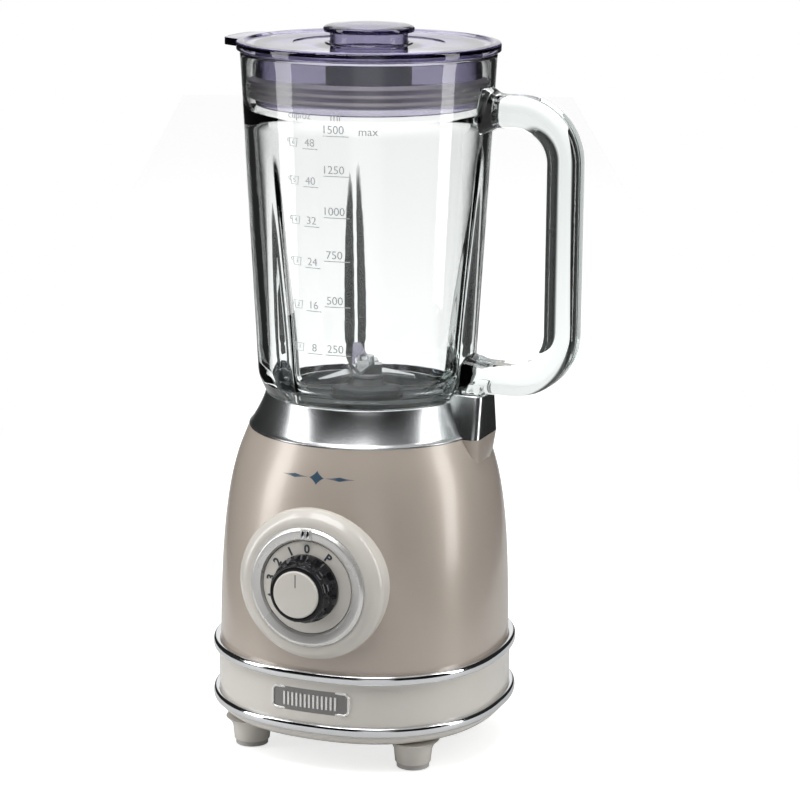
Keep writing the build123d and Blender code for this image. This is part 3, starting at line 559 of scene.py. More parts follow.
def bar_tree():
    tree, entry, leave = new_tree("bars_in_a_row", {
        "Count": "Int", "Step": "Float", "Wide": "Float", "Deep": "Float", "Tall": "Float",
        "Cuts Wide": "Int", "Cuts Tall": "Int", "Finish": "Material"})
    line, bar, place, real, paint = (tree.nodes.new("GeometryNode" + kind) for kind in (
        "MeshLine", "MeshCube", "InstanceOnPoints", "RealizeInstances", "SetMaterial"))
    line.mode = "OFFSET"
    step, size = (tree.nodes.new("ShaderNodeCombineXYZ") for _ in range(2))
    given = entry.outputs
    wire(tree, (given["Count"], line.inputs["Count"]), (given["Step"], step.inputs["X"]),
         (step.outputs[0], line.inputs["Offset"]), (given["Wide"], size.inputs["X"]),
         (given["Deep"], size.inputs["Y"]), (given["Tall"], size.inputs["Z"]),
         (size.outputs[0], bar.inputs["Size"]), (given["Cuts Wide"], bar.inputs["Vertices X"]),
         (given["Cuts Tall"], bar.inputs["Vertices Z"]), (line.outputs["Mesh"], place.inputs["Points"]),
         (bar.outputs["Mesh"], place.inputs["Instance"]),
         (place.outputs["Instances"], real.inputs["Geometry"]),
         (real.outputs["Geometry"], paint.inputs["Geometry"]),
         (given["Finish"], paint.inputs["Material"]),
         (paint.outputs["Geometry"], leave.inputs["Geometry"]))
    return tree


def plain_mesh(host):
    """The evaluated mesh of an object, as a mesh of its own."""
    graph = bpy.context.evaluated_depsgraph_get()
    return bpy.data.meshes.new_from_object(host.evaluated_get(graph), depsgraph=graph)


def run_tree(name, tree, settings):
    """Runs a Geometry Nodes tree with named inputs and returns its plain mesh."""
    host = bpy.data.objects.new(name, bpy.data.meshes.new(name))
    bpy.context.scene.collection.objects.link(host)
    modifier = host.modifiers.new("nodes", "NODES")
    modifier.node_group = tree
    for item in tree.interface.items_tree:
        if item.in_out == "INPUT" and item.name in settings:
            modifier[item.identifier] = settings[item.name]
    mesh = plain_mesh(host)
    bpy.data.objects.remove(host)
    return mesh


BARS = bar_tree()
print("tree", BARS.name, "with", len(BARS.nodes), "nodes")

# %% [markdown]
# ## Badge
# A dark recessed plate sits on the band. It carries no name here, only a raised rim and
# a row of plain upright ribs from the tree of bars. Everything is bent onto the band by
# one function that finds the band's front for any place across it.

# %% Badge plate, rim and ribs
def on_band(x, height, proud):
    """A point that far across the front of the band, standing proud of it."""
    half = BAND_HALF + proud
    y = -(half ** BASE_POWER - min(abs(x), half) ** BASE_POWER) ** (1 / BASE_POWER)
    return AXIS + Vector((x, y, height))


def wrap_piece(name, rows, columns, point, back):
    """A curved plate: point(u, v, depth) gives front and back, closed at the rim."""
    verts = [point(i / rows, j / columns, 0) for i in range(rows + 1) for j in range(columns + 1)]
    count = len(verts)
    verts += [point(i / rows, j / columns, back) for i in range(rows + 1) for j in range(columns + 1)]
    faces = grid_faces(rows + 1, columns + 1, False, False)
    faces += [tuple(count + v for v in reversed(face)) for face in faces]
    wide = columns + 1
    edge = list(range(wide)) + [i * wide + columns for i in range(1, rows + 1)]
    edge += [rows * wide + j for j in range(columns - 1, -1, -1)]
    edge += [i * wide for i in range(rows - 1, 0, -1)]
    for a, b in zip(edge, edge[1:] + edge[:1]):
        faces.append((b, a, count + a, count + b))
    return new_piece(name, verts, faces)


badge_low, badge_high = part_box("badge_plate")
BADGE_HALF = half_width("badge_plate")
BADGE_TALL = badge_high[2] - badge_low[2]
BADGE_MID = middle_z("badge_plate")
BADGE_CORNER = 3.4 * MM
RIBS, RIB_SPAN = 13, 2 * BADGE_HALF - 16 * MM


def rounded_half(v, half_wide, half_tall, corner):
    """Half width of a rounded rectangle at the share v of its height."""
    over = max(0.0, abs(v * 2 - 1) * half_tall - (half_tall - corner))
    return half_wide - corner + math.sqrt(max(corner * corner - over * over, 0.0))


def badge_sheet(name, shrink, proud, back):
    """A bent sheet a little smaller than the badge."""
    half_wide, half_tall = BADGE_HALF - shrink, BADGE_TALL / 2 - shrink

    def point(u, v, depth):
        v = 0.5 - 0.5 * math.cos(math.pi * v)
        half = rounded_half(v, half_wide, half_tall, BADGE_CORNER - shrink)
        return on_band((u * 2 - 1) * half, BADGE_MID + (v * 2 - 1) * half_tall, proud - depth)

    return wrap_piece(name, 48, 24, point, back)


def badge_rim():
    """A raised frame: a small section of (inwards, proud) carried round the plate."""
    rows = ((0.05, -0.3), (0.05, 0.45), (0.3, 0.75), (1.1, 0.75), (1.35, 0.5), (1.45, -0.3))
    verts = [on_band(x, BADGE_MID + z, proud * MM) for inward, proud in rows
             for x, z in rounded_rectangle(BADGE_HALF, BADGE_TALL / 2, BADGE_CORNER, 12, inward * MM)]
    return new_piece("badge_rim", verts, grid_faces(len(rows), len(verts) // len(rows), True), 50)


ribs = run_tree("badge_ribs", BARS, {
    "Count": RIBS, "Step": RIB_SPAN / (RIBS - 1), "Wide": 1.1 * MM, "Deep": 0.9 * MM,
    "Tall": BADGE_TALL - 6 * MM, "Cuts Wide": 3, "Cuts Tall": 9, "Finish": RING})
for vertex in ribs.vertices:
    x, y, z = vertex.co
    vertex.co = on_band(x - RIB_SPAN / 2, BADGE_MID + z, 0.2 * MM - y)
ribs = finish_mesh("badge_ribs_mesh", ribs)
plate = badge_sheet("badge_plate_sheet", 0.2 * MM, 0.1 * MM, 0.9 * MM)
settle(plate, PLATE, "base", ["badge_plate"])
settle(join("badge_relief", [badge_rim(), ribs]), RING, "base")

# %% [markdown]
# ## Dial
# The dial stands on its own axis, square to the tower. We draw its rings flat, as if on
# a lathe, and one matrix stands them up at the front of the housing. The bezel is a
# swelling ring; the polished ring inside it holds a small window that marks the setting.

# %% Dial bezel, ring and window
DIAL_FACE, CREST = front_face("dial_skirt"), front_face("dial_bezel")
DIAL_R, BEZEL_R, RING_R = (half_width(node) for node in ("dial_skirt", "dial_bezel", "dial_ring"))
FRONT = (Matrix.Translation(AXIS + Vector((0, 0, middle_z("dial_skirt"))))
         @ Matrix.Rotation(math.radians(90), 4, "X"))
RING_INNER = DIAL_R + 0.4 * MM
INDEX_HALF = 3.2 * MM
bezel = turned("cream_bezel", [
    (RING_R, DIAL_FACE - 7 * MM), (RING_R, CREST - 1.0 * MM, 0.5 * MM),
    (RING_R + 3.4 * MM, CREST, 6 * MM), (BEZEL_R, CREST - 5.5 * MM, 5.5 * MM),
    (BEZEL_R, CREST - 22 * MM), (RING_R, CREST - 22 * MM)],
    columns=160, steps=10, place=FRONT, sharp=50)
settle(bezel, CREAM, "base", ["dial_bezel"])
ring = turned("polished_dial_ring", [
    (RING_INNER, DIAL_FACE - 6 * MM), (RING_INNER, CREST - 0.6 * MM, 0.3 * MM),
    (RING_INNER + 1.0 * MM, CREST + 0.6 * MM, 0.5 * MM),
    (RING_R - 1.6 * MM, CREST + 1.1 * MM, 1.2 * MM), (RING_R, CREST - 0.4 * MM, 0.3 * MM),
    (RING_R, DIAL_FACE - 6 * MM)], columns=160, place=FRONT, sharp=50)
settle(ring, RING, "base", ["dial_ring"])


def front_box(name, x, y, z, edge):
    """A small block in dial coordinates, with its edges bevelled."""
    work = bmesh.new()
    bmesh.ops.create_cube(work, size=1)
    size = Vector((x[1] - x[0], y[1] - y[0], z[1] - z[0]))
    middle = Vector((x[0] + x[1], y[0] + y[1], z[0] + z[1])) / 2
    for vertex in work.verts:
        vertex.co = Vector(a * b for a, b in zip(vertex.co, size)) + middle
    bmesh.ops.bevel(work, geom=work.edges[:], offset=edge, segments=3, affect="EDGES", profile=0.5)
    bmesh.ops.transform(work, matrix=FRONT, verts=work.verts)
    mesh = bpy.data.meshes.new(name)
    work.to_mesh(mesh)
    work.free()
    return finish_mesh(name, mesh)


window_frame = front_box("window_frame", (-INDEX_HALF, INDEX_HALF),
                         (RING_INNER + 0.6 * MM, RING_R - 0.4 * MM), (CREST - 2 * MM, CREST + 1.5 * MM),
                         0.4 * MM)
settle(window_frame, RING, "base")
bits = []
for side in (-1, 1):
    x = side * 1.45 * MM
    bits.append(front_box("window", (x - 0.95 * MM, x + 0.95 * MM),
                          (RING_INNER + 1.3 * MM, RING_R - 1.1 * MM), (CREST, CREST + 1.9 * MM),
                          0.3 * MM))
settle(join("dial_window", bits), CHROME, "base", ["dial_index"])

# %% [markdown]
# ## Knob
# The grip is black with scallops for the fingers. A scallop is a bite out of the radius
# that repeats round the knob, so the radius simply becomes a function of the angle. The
# cream disc in front and the numbered disc behind turn with it, on the knob's body.

# %% Numbered disc, grip and cap
KNOB_R, CAP_R = half_width("knob_grip"), half_width("knob_cap")
GRIP_FRONT, KNOB_FRONT = front_face("knob_grip"), front_face("knob_cap")
SHAFT_R = 3.2 * MM
NOTCHES, NOTCH_R, NOTCH_PLACE = 12, 3.4 * MM, 19.4 * MM


def scallop(radius, height, angle, index):
    """Cuts round finger notches into the grip's side."""
    if height < DIAL_FACE + 3.0 * MM or radius < CAP_R + 1.0 * MM:
        return radius
    pitch = 2 * math.pi / NOTCHES
    off = (angle + pitch / 2) % pitch - pitch / 2
    side = NOTCH_PLACE * math.sin(off)
    if abs(side) >= NOTCH_R:
        return radius
    return min(radius, NOTCH_PLACE * math.cos(off) - math.sqrt(NOTCH_R * NOTCH_R - side * side))


disc = turned("numbered_disc", [
    (SHAFT_R, DIAL_FACE - 2 * MM), (DIAL_R, DIAL_FACE - 2 * MM), (DIAL_R, DIAL_FACE, 0.4 * MM),
    (SHAFT_R, DIAL_FACE)], columns=128, place=FRONT)
settle(disc, CREAM, "knob", ["dial_skirt"])
grip = turned("black_grip", [
    (SHAFT_R, DIAL_FACE + 0.1 * MM), (KNOB_R, DIAL_FACE + 0.1 * MM, 0.5 * MM),
    (KNOB_R, DIAL_FACE + 2.6 * MM, 1.2 * MM), (KNOB_R - 0.2 * MM, DIAL_FACE + 4.4 * MM),
    (KNOB_R - 1.2 * MM, DIAL_FACE + 9.0 * MM), (16.6 * MM, GRIP_FRONT - 3.6 * MM),
    (15.9 * MM, GRIP_FRONT - 3.0 * MM), (15.3 * MM, GRIP_FRONT, 1.3 * MM),
    (CAP_R + 0.1 * MM, GRIP_FRONT - 0.1 * MM, 0.2 * MM), (CAP_R + 0.1 * MM, GRIP_FRONT - 1.6 * MM),
    (SHAFT_R, GRIP_FRONT - 1.6 * MM)], columns=288, steps=6, shape=scallop, place=FRONT, sharp=40)
settle(grip, BLACK, "knob", ["knob_grip"])
cap = turned("cream_cap", [
    (0.01 * MM, GRIP_FRONT - 1.5 * MM), (CAP_R, GRIP_FRONT - 1.5 * MM),
    (CAP_R, KNOB_FRONT - 0.15 * MM, 0.9 * MM), (0.01 * MM, KNOB_FRONT)], columns=96, place=FRONT)
settle(cap, CREAM, "knob", ["knob_cap"])

# %% [markdown]
# ## Numbers
# Numbers on a dial are generic, so they can be shown. Text starts as a curve, becomes a
# mesh, and only then is bent or turned into place, because a finished piece has its
# place in its mesh. A small depth makes it stand on the surface like raised print.

# %% Text and dial numbers
PRINT_DEPTH = 0.12 * MM
NUMBER_R = 21.2 * MM


def text_mesh(body, size, weight=0.0):
    """Text as a mesh with a small depth; weight makes the strokes bolder."""
    curve = bpy.data.curves.new("text_" + body, "FONT")
    curve.body, curve.size, curve.extrude, curve.offset = body, size, PRINT_DEPTH, weight
    curve.align_x = curve.align_y = "CENTER"
    host = bpy.data.objects.new("text_" + body, curve)
    bpy.context.scene.collection.objects.link(host)
    mesh = plain_mesh(host)
    bpy.data.objects.remove(host)
    return mesh


marks = []
for body, turn in (("P", 35), ("0", 0), ("1", -27), ("2", -54), ("3", -81), ("4", -108)):
    angle = math.radians(90 - turn)
    where = Vector((NUMBER_R * math.cos(angle), NUMBER_R * math.sin(angle), DIAL_FACE + 0.02 * MM))
    mesh = text_mesh(body, 6.4 * MM, weight=0.2 * MM)
    mesh.transform(FRONT @ Matrix.Translation(where) @ Matrix.Rotation(math.radians(-turn), 4, "Z"))
    marks.append(finish_mesh("mark", mesh))
settle(join("dial_numbers", marks), INK, "knob")
pointer = front_box("pointer", (-0.35 * MM, 0.35 * MM), (4 * MM, 11.2 * MM),
                    (KNOB_FRONT - 0.4 * MM, KNOB_FRONT + 0.02 * MM), 0.1 * MM)
settle(pointer, GREY, "knob")

# %% [markdown]
# ## The glass jug
# The jug is one piece of thick pressed glass. Its wall is a closed path: up the outside,
# over the rim, down the inside. Three ribs grow inwards towards the bottom and stir the
# food; they only change the radius of the inside. The spout pushes both sides outwards.

# %% Jug wall
jug_low, jug_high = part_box("glass_jug")
NECK_LOW, RIM = jug_low[2], jug_high[2]
FOOT = NECK_LOW + 16.8 * MM
MOUTH_R = 70.0 * MM
SHOULDER_R = 60.1 * MM
JUG_WALL = 3.9 * MM
NECK_R = 46.5 * MM
SPOUT_OUT = 6.0 * MM
BAFFLE_TOP, BAFFLE_DEPTH = 335 * MM, 9.0 * MM
BAFFLE_TURNS = (0, 2 * math.pi / 3, 4 * math.pi / 3)
MOUTH_INNER = MOUTH_R - JUG_WALL
BORE_R = NECK_R - 4.8 * MM


def smooth(edge0, edge1, x):
    t = min(1.0, max(0.0, (x - edge0) / (edge1 - edge0)))
    return t * t * (3 - 2 * t)


def outer_radius(height):
    return SHOULDER_R + (MOUTH_R - SHOULDER_R) * (height - FOOT - 10 * MM) / (RIM - FOOT - 10 * MM)


def spout_push(height, angle):
    """How far the spout at -X pushes the wall outwards."""
    off = abs(angle % (2 * math.pi) - math.pi)
    across = math.exp(-(off / 0.16) ** 2)
    return SPOUT_OUT * across * smooth(RIM - 30 * MM, RIM, height) ** 1.3


def baffle(height, angle):
    """How far the three ribs grow inwards."""
    depth = smooth(BAFFLE_TOP, FOOT + 12 * MM, height)
    if height < FOOT + 12 * MM:
        depth = smooth(FOOT - 1 * MM, FOOT + 8 * MM, height)
    near = min(abs((angle - turn + math.pi) % (2 * math.pi) - math.pi) for turn in BAFFLE_TURNS)
    width = 0.045 + 0.04 * depth
    return BAFFLE_DEPTH * depth ** 0.7 * math.exp(-(near / width) ** 2)


def wall_path():
    """(radius, height, is it the inside) round the whole section of the glass."""
    step = 34
    path = []
    outside = rounded_path([
        (BORE_R, NECK_LOW), (NECK_R, NECK_LOW, 0.8 * MM), (NECK_R, FOOT, 0.8 * MM),
        (56.0 * MM, FOOT, 2.4 * MM), (outer_radius(FOOT + 10 * MM), FOOT + 9 * MM, 16 * MM),
        (outer_radius(FOOT + 34 * MM), FOOT + 34 * MM)], steps=8)
    path += [(r, z, False) for r, z in outside[1:]]
    for k in range(1, step):
        z = FOOT + 34 * MM + (RIM - 2 * MM - FOOT - 34 * MM) * k / step
        path.append((outer_radius(z), z, False))
    rim = rounded_path([
        (0, RIM - 4 * MM), (outer_radius(RIM - 3 * MM), RIM - 3 * MM), (MOUTH_R, RIM, 1.5 * MM),
        (MOUTH_INNER, RIM, 1.5 * MM), (MOUTH_INNER, RIM - 4 * MM)], steps=6)
    path += [(r, z, False) for r, z in rim[2:]]
    step_z = RIM - 32 * MM
    path += [(MOUTH_INNER, z, True)
             for z in (RIM - 8 * MM, RIM - 14 * MM, RIM - 22 * MM, step_z + 2.0 * MM)]
    path += [(MOUTH_INNER - 0.3 * MM, step_z + 1.0 * MM, True), (MOUTH_INNER - 1.0 * MM, step_z, True)]
    for k in range(1, step + 1):
        z = step_z + (FOOT + 26 * MM - step_z) * k / step
        path.append((outer_radius(z) - JUG_WALL - (0.6 + 1.6 * k / step) * MM, z, True))
    last = path[-1]
    floor = rounded_path([
        last[:2], (last[0] - 1.0 * MM, FOOT + 9 * MM, 18 * MM), (BORE_R, FOOT - 1.0 * MM, 5 * MM),
        (BORE_R, NECK_LOW)], steps=8)
    path += [(r, z, True) for r, z in floor[1:]]
    return path


JUG_COLUMNS = 288
path = wall_path()
verts = []
for radius, height, inner in path:
    for j in range(JUG_COLUMNS):
        angle = 2 * math.pi * j / JUG_COLUMNS
        r = radius + spout_push(height, angle)
        if inner:
            r -= baffle(height, angle)
        verts.append(AXIS + Vector((r * math.cos(angle), r * math.sin(angle), height)))
jug = new_piece("jug_wall", verts, grid_faces(len(path), JUG_COLUMNS, True), 60)
print("jug section of", len(path), "points")

# %% [markdown]
# ## The handle
# The handle is a solid D of the same glass. A rounded rectangle is carried along its
# middle line, which we build from straights and quarter turns, and it swells where it
# runs into the wall. A boolean union then makes jug and handle one closed skin: glass
# inside glass must not keep a hidden surface, or light would bend there.

# %% Handle and union
HANDLE_OUT = jug_high[0] - AXIS.x
HANDLE_R = 8.75 * MM
HANDLE_HALF = 9.75 * MM
HANDLE_MID = HANDLE_OUT - HANDLE_R
BEND = 26.5 * MM
top_z, low_z = RIM - 28.6 * MM, FOOT + 12.9 * MM


def handle_line():
    """(x, z, direction) along the middle of the handle, from the top root down."""
    line = []
    start = MOUTH_INNER + 1.2 * MM
    for k in range(8):
        line.append((start + (HANDLE_MID - BEND - start) * k / 8, top_z, 0.0))
    for k in range(17):
        turn = math.radians(90 * k / 16)
        line.append((HANDLE_MID - BEND + BEND * math.sin(turn),
                     top_z - BEND + BEND * math.cos(turn), -turn))
    for k in range(1, 16):
        line.append((HANDLE_MID, top_z - BEND + (low_z - top_z + 2 * BEND) * k / 16, -math.pi / 2))
    for k in range(17):
        turn = math.radians(90 * k / 16)
        line.append((HANDLE_MID - BEND + BEND * math.cos(turn), low_z + BEND - BEND * math.sin(turn),
                     -math.pi / 2 - turn))
    end = SHOULDER_R - 2.0 * MM
    for k in range(1, 9):
        line.append((HANDLE_MID - BEND + (end - HANDLE_MID + BEND) * k / 8, low_z, -math.pi))
    return line


SECTION = rounded_rectangle(HANDLE_R, HANDLE_HALF, 5.5 * MM, 9)
verts = []
line = handle_line()
root_top, root_low = line[0][0], line[-1][0]
for x, z, direction in line:
    swell = 1 + 0.42 * smooth(root_top + 9 * MM, root_top + 0.5 * MM, x) * (z > (top_z + low_z) / 2)
    swell += 0.30 * smooth(root_low + 14 * MM, root_low + 2 * MM, x) * (z < (top_z + low_z) / 2)
    side = Vector((-math.sin(direction), 0, math.cos(direction)))
    for across, along in SECTION:
        verts.append(AXIS + Vector((x, 0, z)) + side * (across * swell)
                     + Vector((0, along * (1 + 0.6 * (swell - 1)), 0)))
faces = grid_faces(len(line), len(SECTION), False)
faces += [tuple(range(len(SECTION)))[::-1], tuple(range(len(verts) - len(SECTION), len(verts)))]
handle = new_piece("handle", verts, faces, 60)
foot_low = LUG_TOP + 0.3 * MM
foot = rounded_block("glass_foot", [
    (SHOULDER_R - 2.2 * MM, LUG_REACH - 0.4 * MM, 11.0 * MM, foot_low),
    (SHOULDER_R - 2.2 * MM, LUG_REACH, 11.6 * MM, foot_low + 0.8 * MM),
    (SHOULDER_R - 2.2 * MM, LUG_REACH + 2 * MM, 11.2 * MM, low_z - 3 * MM)], 5 * MM)


def unite(base, extra):
    """Adds another closed piece to the first and keeps one outer skin."""
    modifier = base.modifiers.new("union", "BOOLEAN")
    modifier.operation, modifier.solver, modifier.object = "UNION", "EXACT", extra
    mesh = plain_mesh(base)
    base.modifiers.clear()
    base.data = mesh
    bpy.data.objects.remove(extra)
    return base


jug = unite(unite(jug, handle), foot)
jug.data.shade_smooth()
jug.data.set_sharp_from_angle(angle=math.radians(75))
jug.name = "glass_jug_and_handle"
settle(jug, GLASS, "jug", ["glass_jug"])

# %% [markdown]
# ## The scale on the glass
# A line belongs where the jug holds that volume, so we add up thin slices of the inside
# until the volume is reached. The ticks come from the tree of bars; text and ticks are
# then wrapped onto the leaning wall, just proud of it.

# %% Volume marks
ML_TURN, OZ_TURN, CUP_TURN = -83.5, -94.5, -103.5
FIRST_ML, FIRST_HEIGHT = 250, 228.6 * MM
ML_PER_OUNCE = 1500 / 51.0
ROUNDING = 0.952          # what the ribs and the rounded wall take off the volume
TICK_CELLS = 12
bits = []


def height_for(volume_ml):
    """Height at which the jug holds that volume, counted up from the first mark."""
    height, volume, slice_tall = FIRST_HEIGHT, float(FIRST_ML), 0.1 * MM
    while volume < volume_ml:
        radius = outer_radius(height) - JUG_WALL - 2.4 * MM * (1 - (height - FOOT) / (RIM - FOOT))
        volume += math.pi * radius * radius * slice_tall * 1e6 * ROUNDING
        height += slice_tall
    return height


def wrap_on_jug(mesh, turn, height):
    """Bends a flat mesh (x across, y up, z out) onto the jug's wall."""
    for vertex in mesh.vertices:
        x, y, z = vertex.co
        radius = outer_radius(height + y) + 0.15 * MM + z
        angle = math.radians(turn) + x / outer_radius(height)
        vertex.co = AXIS + Vector((radius * math.cos(angle), radius * math.sin(angle), height + y))
    return mesh


def tick(turn, height, length):
    """A thin bar, in cells so that it can follow the wall."""
    cell = length / TICK_CELLS
    mesh = run_tree("tick", BARS, {
        "Count": TICK_CELLS, "Step": cell, "Wide": cell, "Deep": 0.45 * MM, "Tall": 0.25 * MM,
        "Cuts Wide": 2, "Cuts Tall": 2, "Finish": FROST})
    mesh.transform(Matrix.Translation((-length / 2, 0, 0)))
    bits.append(finish_mesh("tick", wrap_on_jug(mesh, turn, height)))


def label(body, size, turn, height):
    bits.append(finish_mesh("label", wrap_on_jug(text_mesh(body, size), turn, height)))


def cup_mark(turn, height):
    """The outline of a measuring cup with its handle, drawn in bars."""
    shape = ((-2.6, 2.1), (-2.1, -2.1), (2.1, -2.1), (2.6, 2.1), (-2.6, 2.1),
             (-3.8, 1.6), (-3.6, 0.2), (-2.4, 0.2))
    verts, faces = [], []
    for (x0, y0), (x1, y1) in zip(shape, shape[1:]):
        along = Vector((x1 - x0, y1 - y0)).normalized() * 0.14
        across = Vector((-along.y, along.x))
        start, end = Vector((x0, y0)) - along, Vector((x1, y1)) + along
        for z in (-0.12, 0.12):
            for point in (start + across, start - across, end - across, end + across):
                verts.append(Vector((point.x, point.y, z)) * MM)
        n = len(verts) - 8
        faces += [(n, n + 3, n + 2, n + 1), (n + 4, n + 5, n + 6, n + 7)]
        faces += [(n + k, n + (k + 1) % 4, n + 4 + (k + 1) % 4, n + 4 + k) for k in range(4)]
    mesh = bpy.data.meshes.new("cup")
    mesh.from_pydata(verts, [], faces)
    bits.append(finish_mesh("cup", wrap_on_jug(mesh, turn, height)))


for volume in range(250, 1501, 250):
    height = height_for(volume)
    tick(ML_TURN + 1.5, height, 14 * MM)
    label(str(volume), 6.2 * MM, ML_TURN - 0.3, height + 3.2 * MM)
for index, ounces in enumerate((8, 16, 24, 32, 40, 48)):
    height = height_for(ounces * ML_PER_OUNCE)
    tick(OZ_TURN, height, 9 * MM)
    label(str(ounces), 6.0 * MM, OZ_TURN - 0.5, height + 3.1 * MM)
    cup_mark(CUP_TURN, height + 3.0 * MM)
    label(str(index + 1), 3.4 * MM, CUP_TURN, height + 3.0 * MM)
top_mark = height_for(1500)
label("ml", 6.0 * MM, ML_TURN + 1.0, top_mark + 10.0 * MM)
label("cup/oz", 5.2 * MM, OZ_TURN - 5.5, top_mark + 10.0 * MM)
label("max", 6.2 * MM, ML_TURN + 15.5, top_mark + 2.6 * MM)
settle(join("volume_scale", bits), FROST, "jug")

# %% [markdown]
# ## Lid, gasket and filler cap
# The lid is clear plastic with a smoky violet tint that deepens along its edge, because
# there the eye looks through more of it. Its tab reaches over the spout: again a radius
# that depends on the angle, but only on the edge rows. The gasket has three soft lips.

# %% Lid parts
lid_low, lid_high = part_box("lid")
LID_TOP = lid_high[2]
LID_R = lid_high[0] - AXIS.x
LID_UNDER = LID_TOP - 5.0 * MM
LID_FACE = LID_TOP - 1.5 * MM
PLUG_LOW = lid_low[2]
TAB_REACH = AXIS.x - lid_low[0]
TAB_HALF = 17.0 * MM
gasket_low, gasket_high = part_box("lid_gasket")
cap_low, cap_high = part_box("filler_cap")
LIP_R, CAP_EDGE = half_width("lid_gasket"), half_width("filler_cap")
PLUG_R = MOUTH_INNER - 4.6 * MM
FILLER_R = 21.6 * MM


def tab(radius, height, angle, index):
    """Pulls the lid's edge out to a flat tab at -X."""
    if radius < LID_R - 1.0 * MM or height < LID_UNDER + 0.5 * MM:
        return radius
    across = abs(math.sin(angle)) * radius
    if math.cos(angle) > 0 or across > TAB_HALF + 7 * MM:
        return radius
    blend = 1 - smooth(TAB_HALF - 5 * MM, TAB_HALF + 7 * MM, across)
    return radius + (TAB_REACH - 0.2 * MM - radius) * blend


lid = turned("smoky_lid", [
    (FILLER_R, LID_FACE + 0.6 * MM, 0.4 * MM), (FILLER_R + 1.8 * MM, LID_FACE + 0.6 * MM, 0.4 * MM),
    (FILLER_R + 2.4 * MM, LID_FACE - 0.2 * MM, 0.3 * MM), (41.0 * MM, LID_FACE - 0.4 * MM, 0.5 * MM),
    (41.6 * MM, LID_FACE + 0.3 * MM, 0.3 * MM), (LID_R - 6 * MM, LID_FACE, 1.0 * MM),
    (LID_R - 4.0 * MM, LID_TOP, 1.5 * MM), (LID_R, LID_TOP - 0.5 * MM, 1.5 * MM),
    (LID_R, LID_UNDER, 0.6 * MM),
    (LID_R - 2.2 * MM, LID_UNDER, 0.5 * MM), (LID_R - 2.2 * MM, LID_UNDER + 2.0 * MM),
    (PLUG_R, LID_UNDER + 2.0 * MM, 0.5 * MM), (PLUG_R, PLUG_LOW, 0.8 * MM),
    (PLUG_R - 2.0 * MM, PLUG_LOW, 0.8 * MM), (PLUG_R - 2.0 * MM, LID_FACE - 2.4 * MM, 1.0 * MM),
    (FILLER_R + 1.7 * MM, LID_FACE - 2.4 * MM, 1.0 * MM),
    (FILLER_R + 1.7 * MM, cap_low[2] - 2 * MM, 0.6 * MM), (FILLER_R, cap_low[2] - 2 * MM, 0.6 * MM)],
    columns=256, steps=5, shape=tab, sharp=45)
settle(lid, SMOKE, "lid", ["lid"])

lips = [(PLUG_R + 0.05 * MM, gasket_low[2])]
for k in range(3):
    base = gasket_low[2] + (0.6 + 4.0 * k) * MM
    lips += [(PLUG_R + 2.2 * MM, base, 0.5 * MM), (LIP_R, base + 0.9 * MM, 0.6 * MM),
             (LIP_R, base + 2.3 * MM, 0.6 * MM), (PLUG_R + 2.2 * MM, base + 3.2 * MM, 0.5 * MM)]
lips.append((PLUG_R + 0.05 * MM, gasket_high[2]))
gasket = turned("silicone_gasket", lips, columns=192, steps=4, sharp=60)
settle(gasket, SILICONE, "lid", ["lid_gasket"])

neck_r = FILLER_R - 0.4 * MM
cap = turned("smoky_filler_cap", [
    (0.01 * MM, cap_high[2] - 0.02 * MM), (12 * MM, cap_high[2] - 0.25 * MM, 30 * MM),
    (CAP_EDGE - 2.0 * MM, cap_high[2] - 1.2 * MM, 2 * MM), (CAP_EDGE, cap_high[2] - 2.2 * MM, 1.2 * MM),
    (CAP_EDGE, cap_high[2] - 4.6 * MM, 0.8 * MM), (neck_r, cap_high[2] - 4.6 * MM, 0.6 * MM),
    (neck_r, cap_low[2], 0.5 * MM), (neck_r - 1.7 * MM, cap_low[2], 0.5 * MM),
    (neck_r - 1.7 * MM, cap_high[2] - 4.0 * MM, 1.5 * MM), (0.01 * MM, cap_high[2] - 3.4 * MM)],
    columns=160, steps=5, sharp=45)
settle(cap, SMOKE, "cap", ["filler_cap"])

# %% [markdown]
# ## Pieces kept from the frame
# Fasteners, feet, blades and the motor are right as engineered, so they stay and only get
# a finish. Their meshes are loose triangles; a Geometry Nodes modifier welds them and
# smooths all but the real edges, without touching the mesh itself.

# %% Finishes for the kept nodes
KEPT = {
    PAD: ("foot_pads",),
    RUBBER: ("seat_pad", "motor_mounts", "drive_coupling", "driven_coupling"),
    SATIN: ("base_screws", "motor_bolts", "mount_screws", "motor_upper_bracket", "motor_lower_bracket",
            "upper_bearing", "lower_bearing", "motor_shaft", "selector_shaft"),
    DARK: ("cord_gland", "jug_seat", "safety_switch", "rotary_switch", "cooling_fan", "interlock_pin",
           "carbon_brushes", "blade_holder"),
    IRON: ("stator_core", "rotor_core"), COPPER: ("field_coils", "rotor_windings", "commutator"),
    BRONZE: ("brush_holders", "blade_bushes"), BOARD: ("control_board",),
    STEEL: ("blade_shaft", "blade_washer", "blade_lower", "blade_upper", "blade_nut"),
    SILICONE: ("blade_seal",),
}


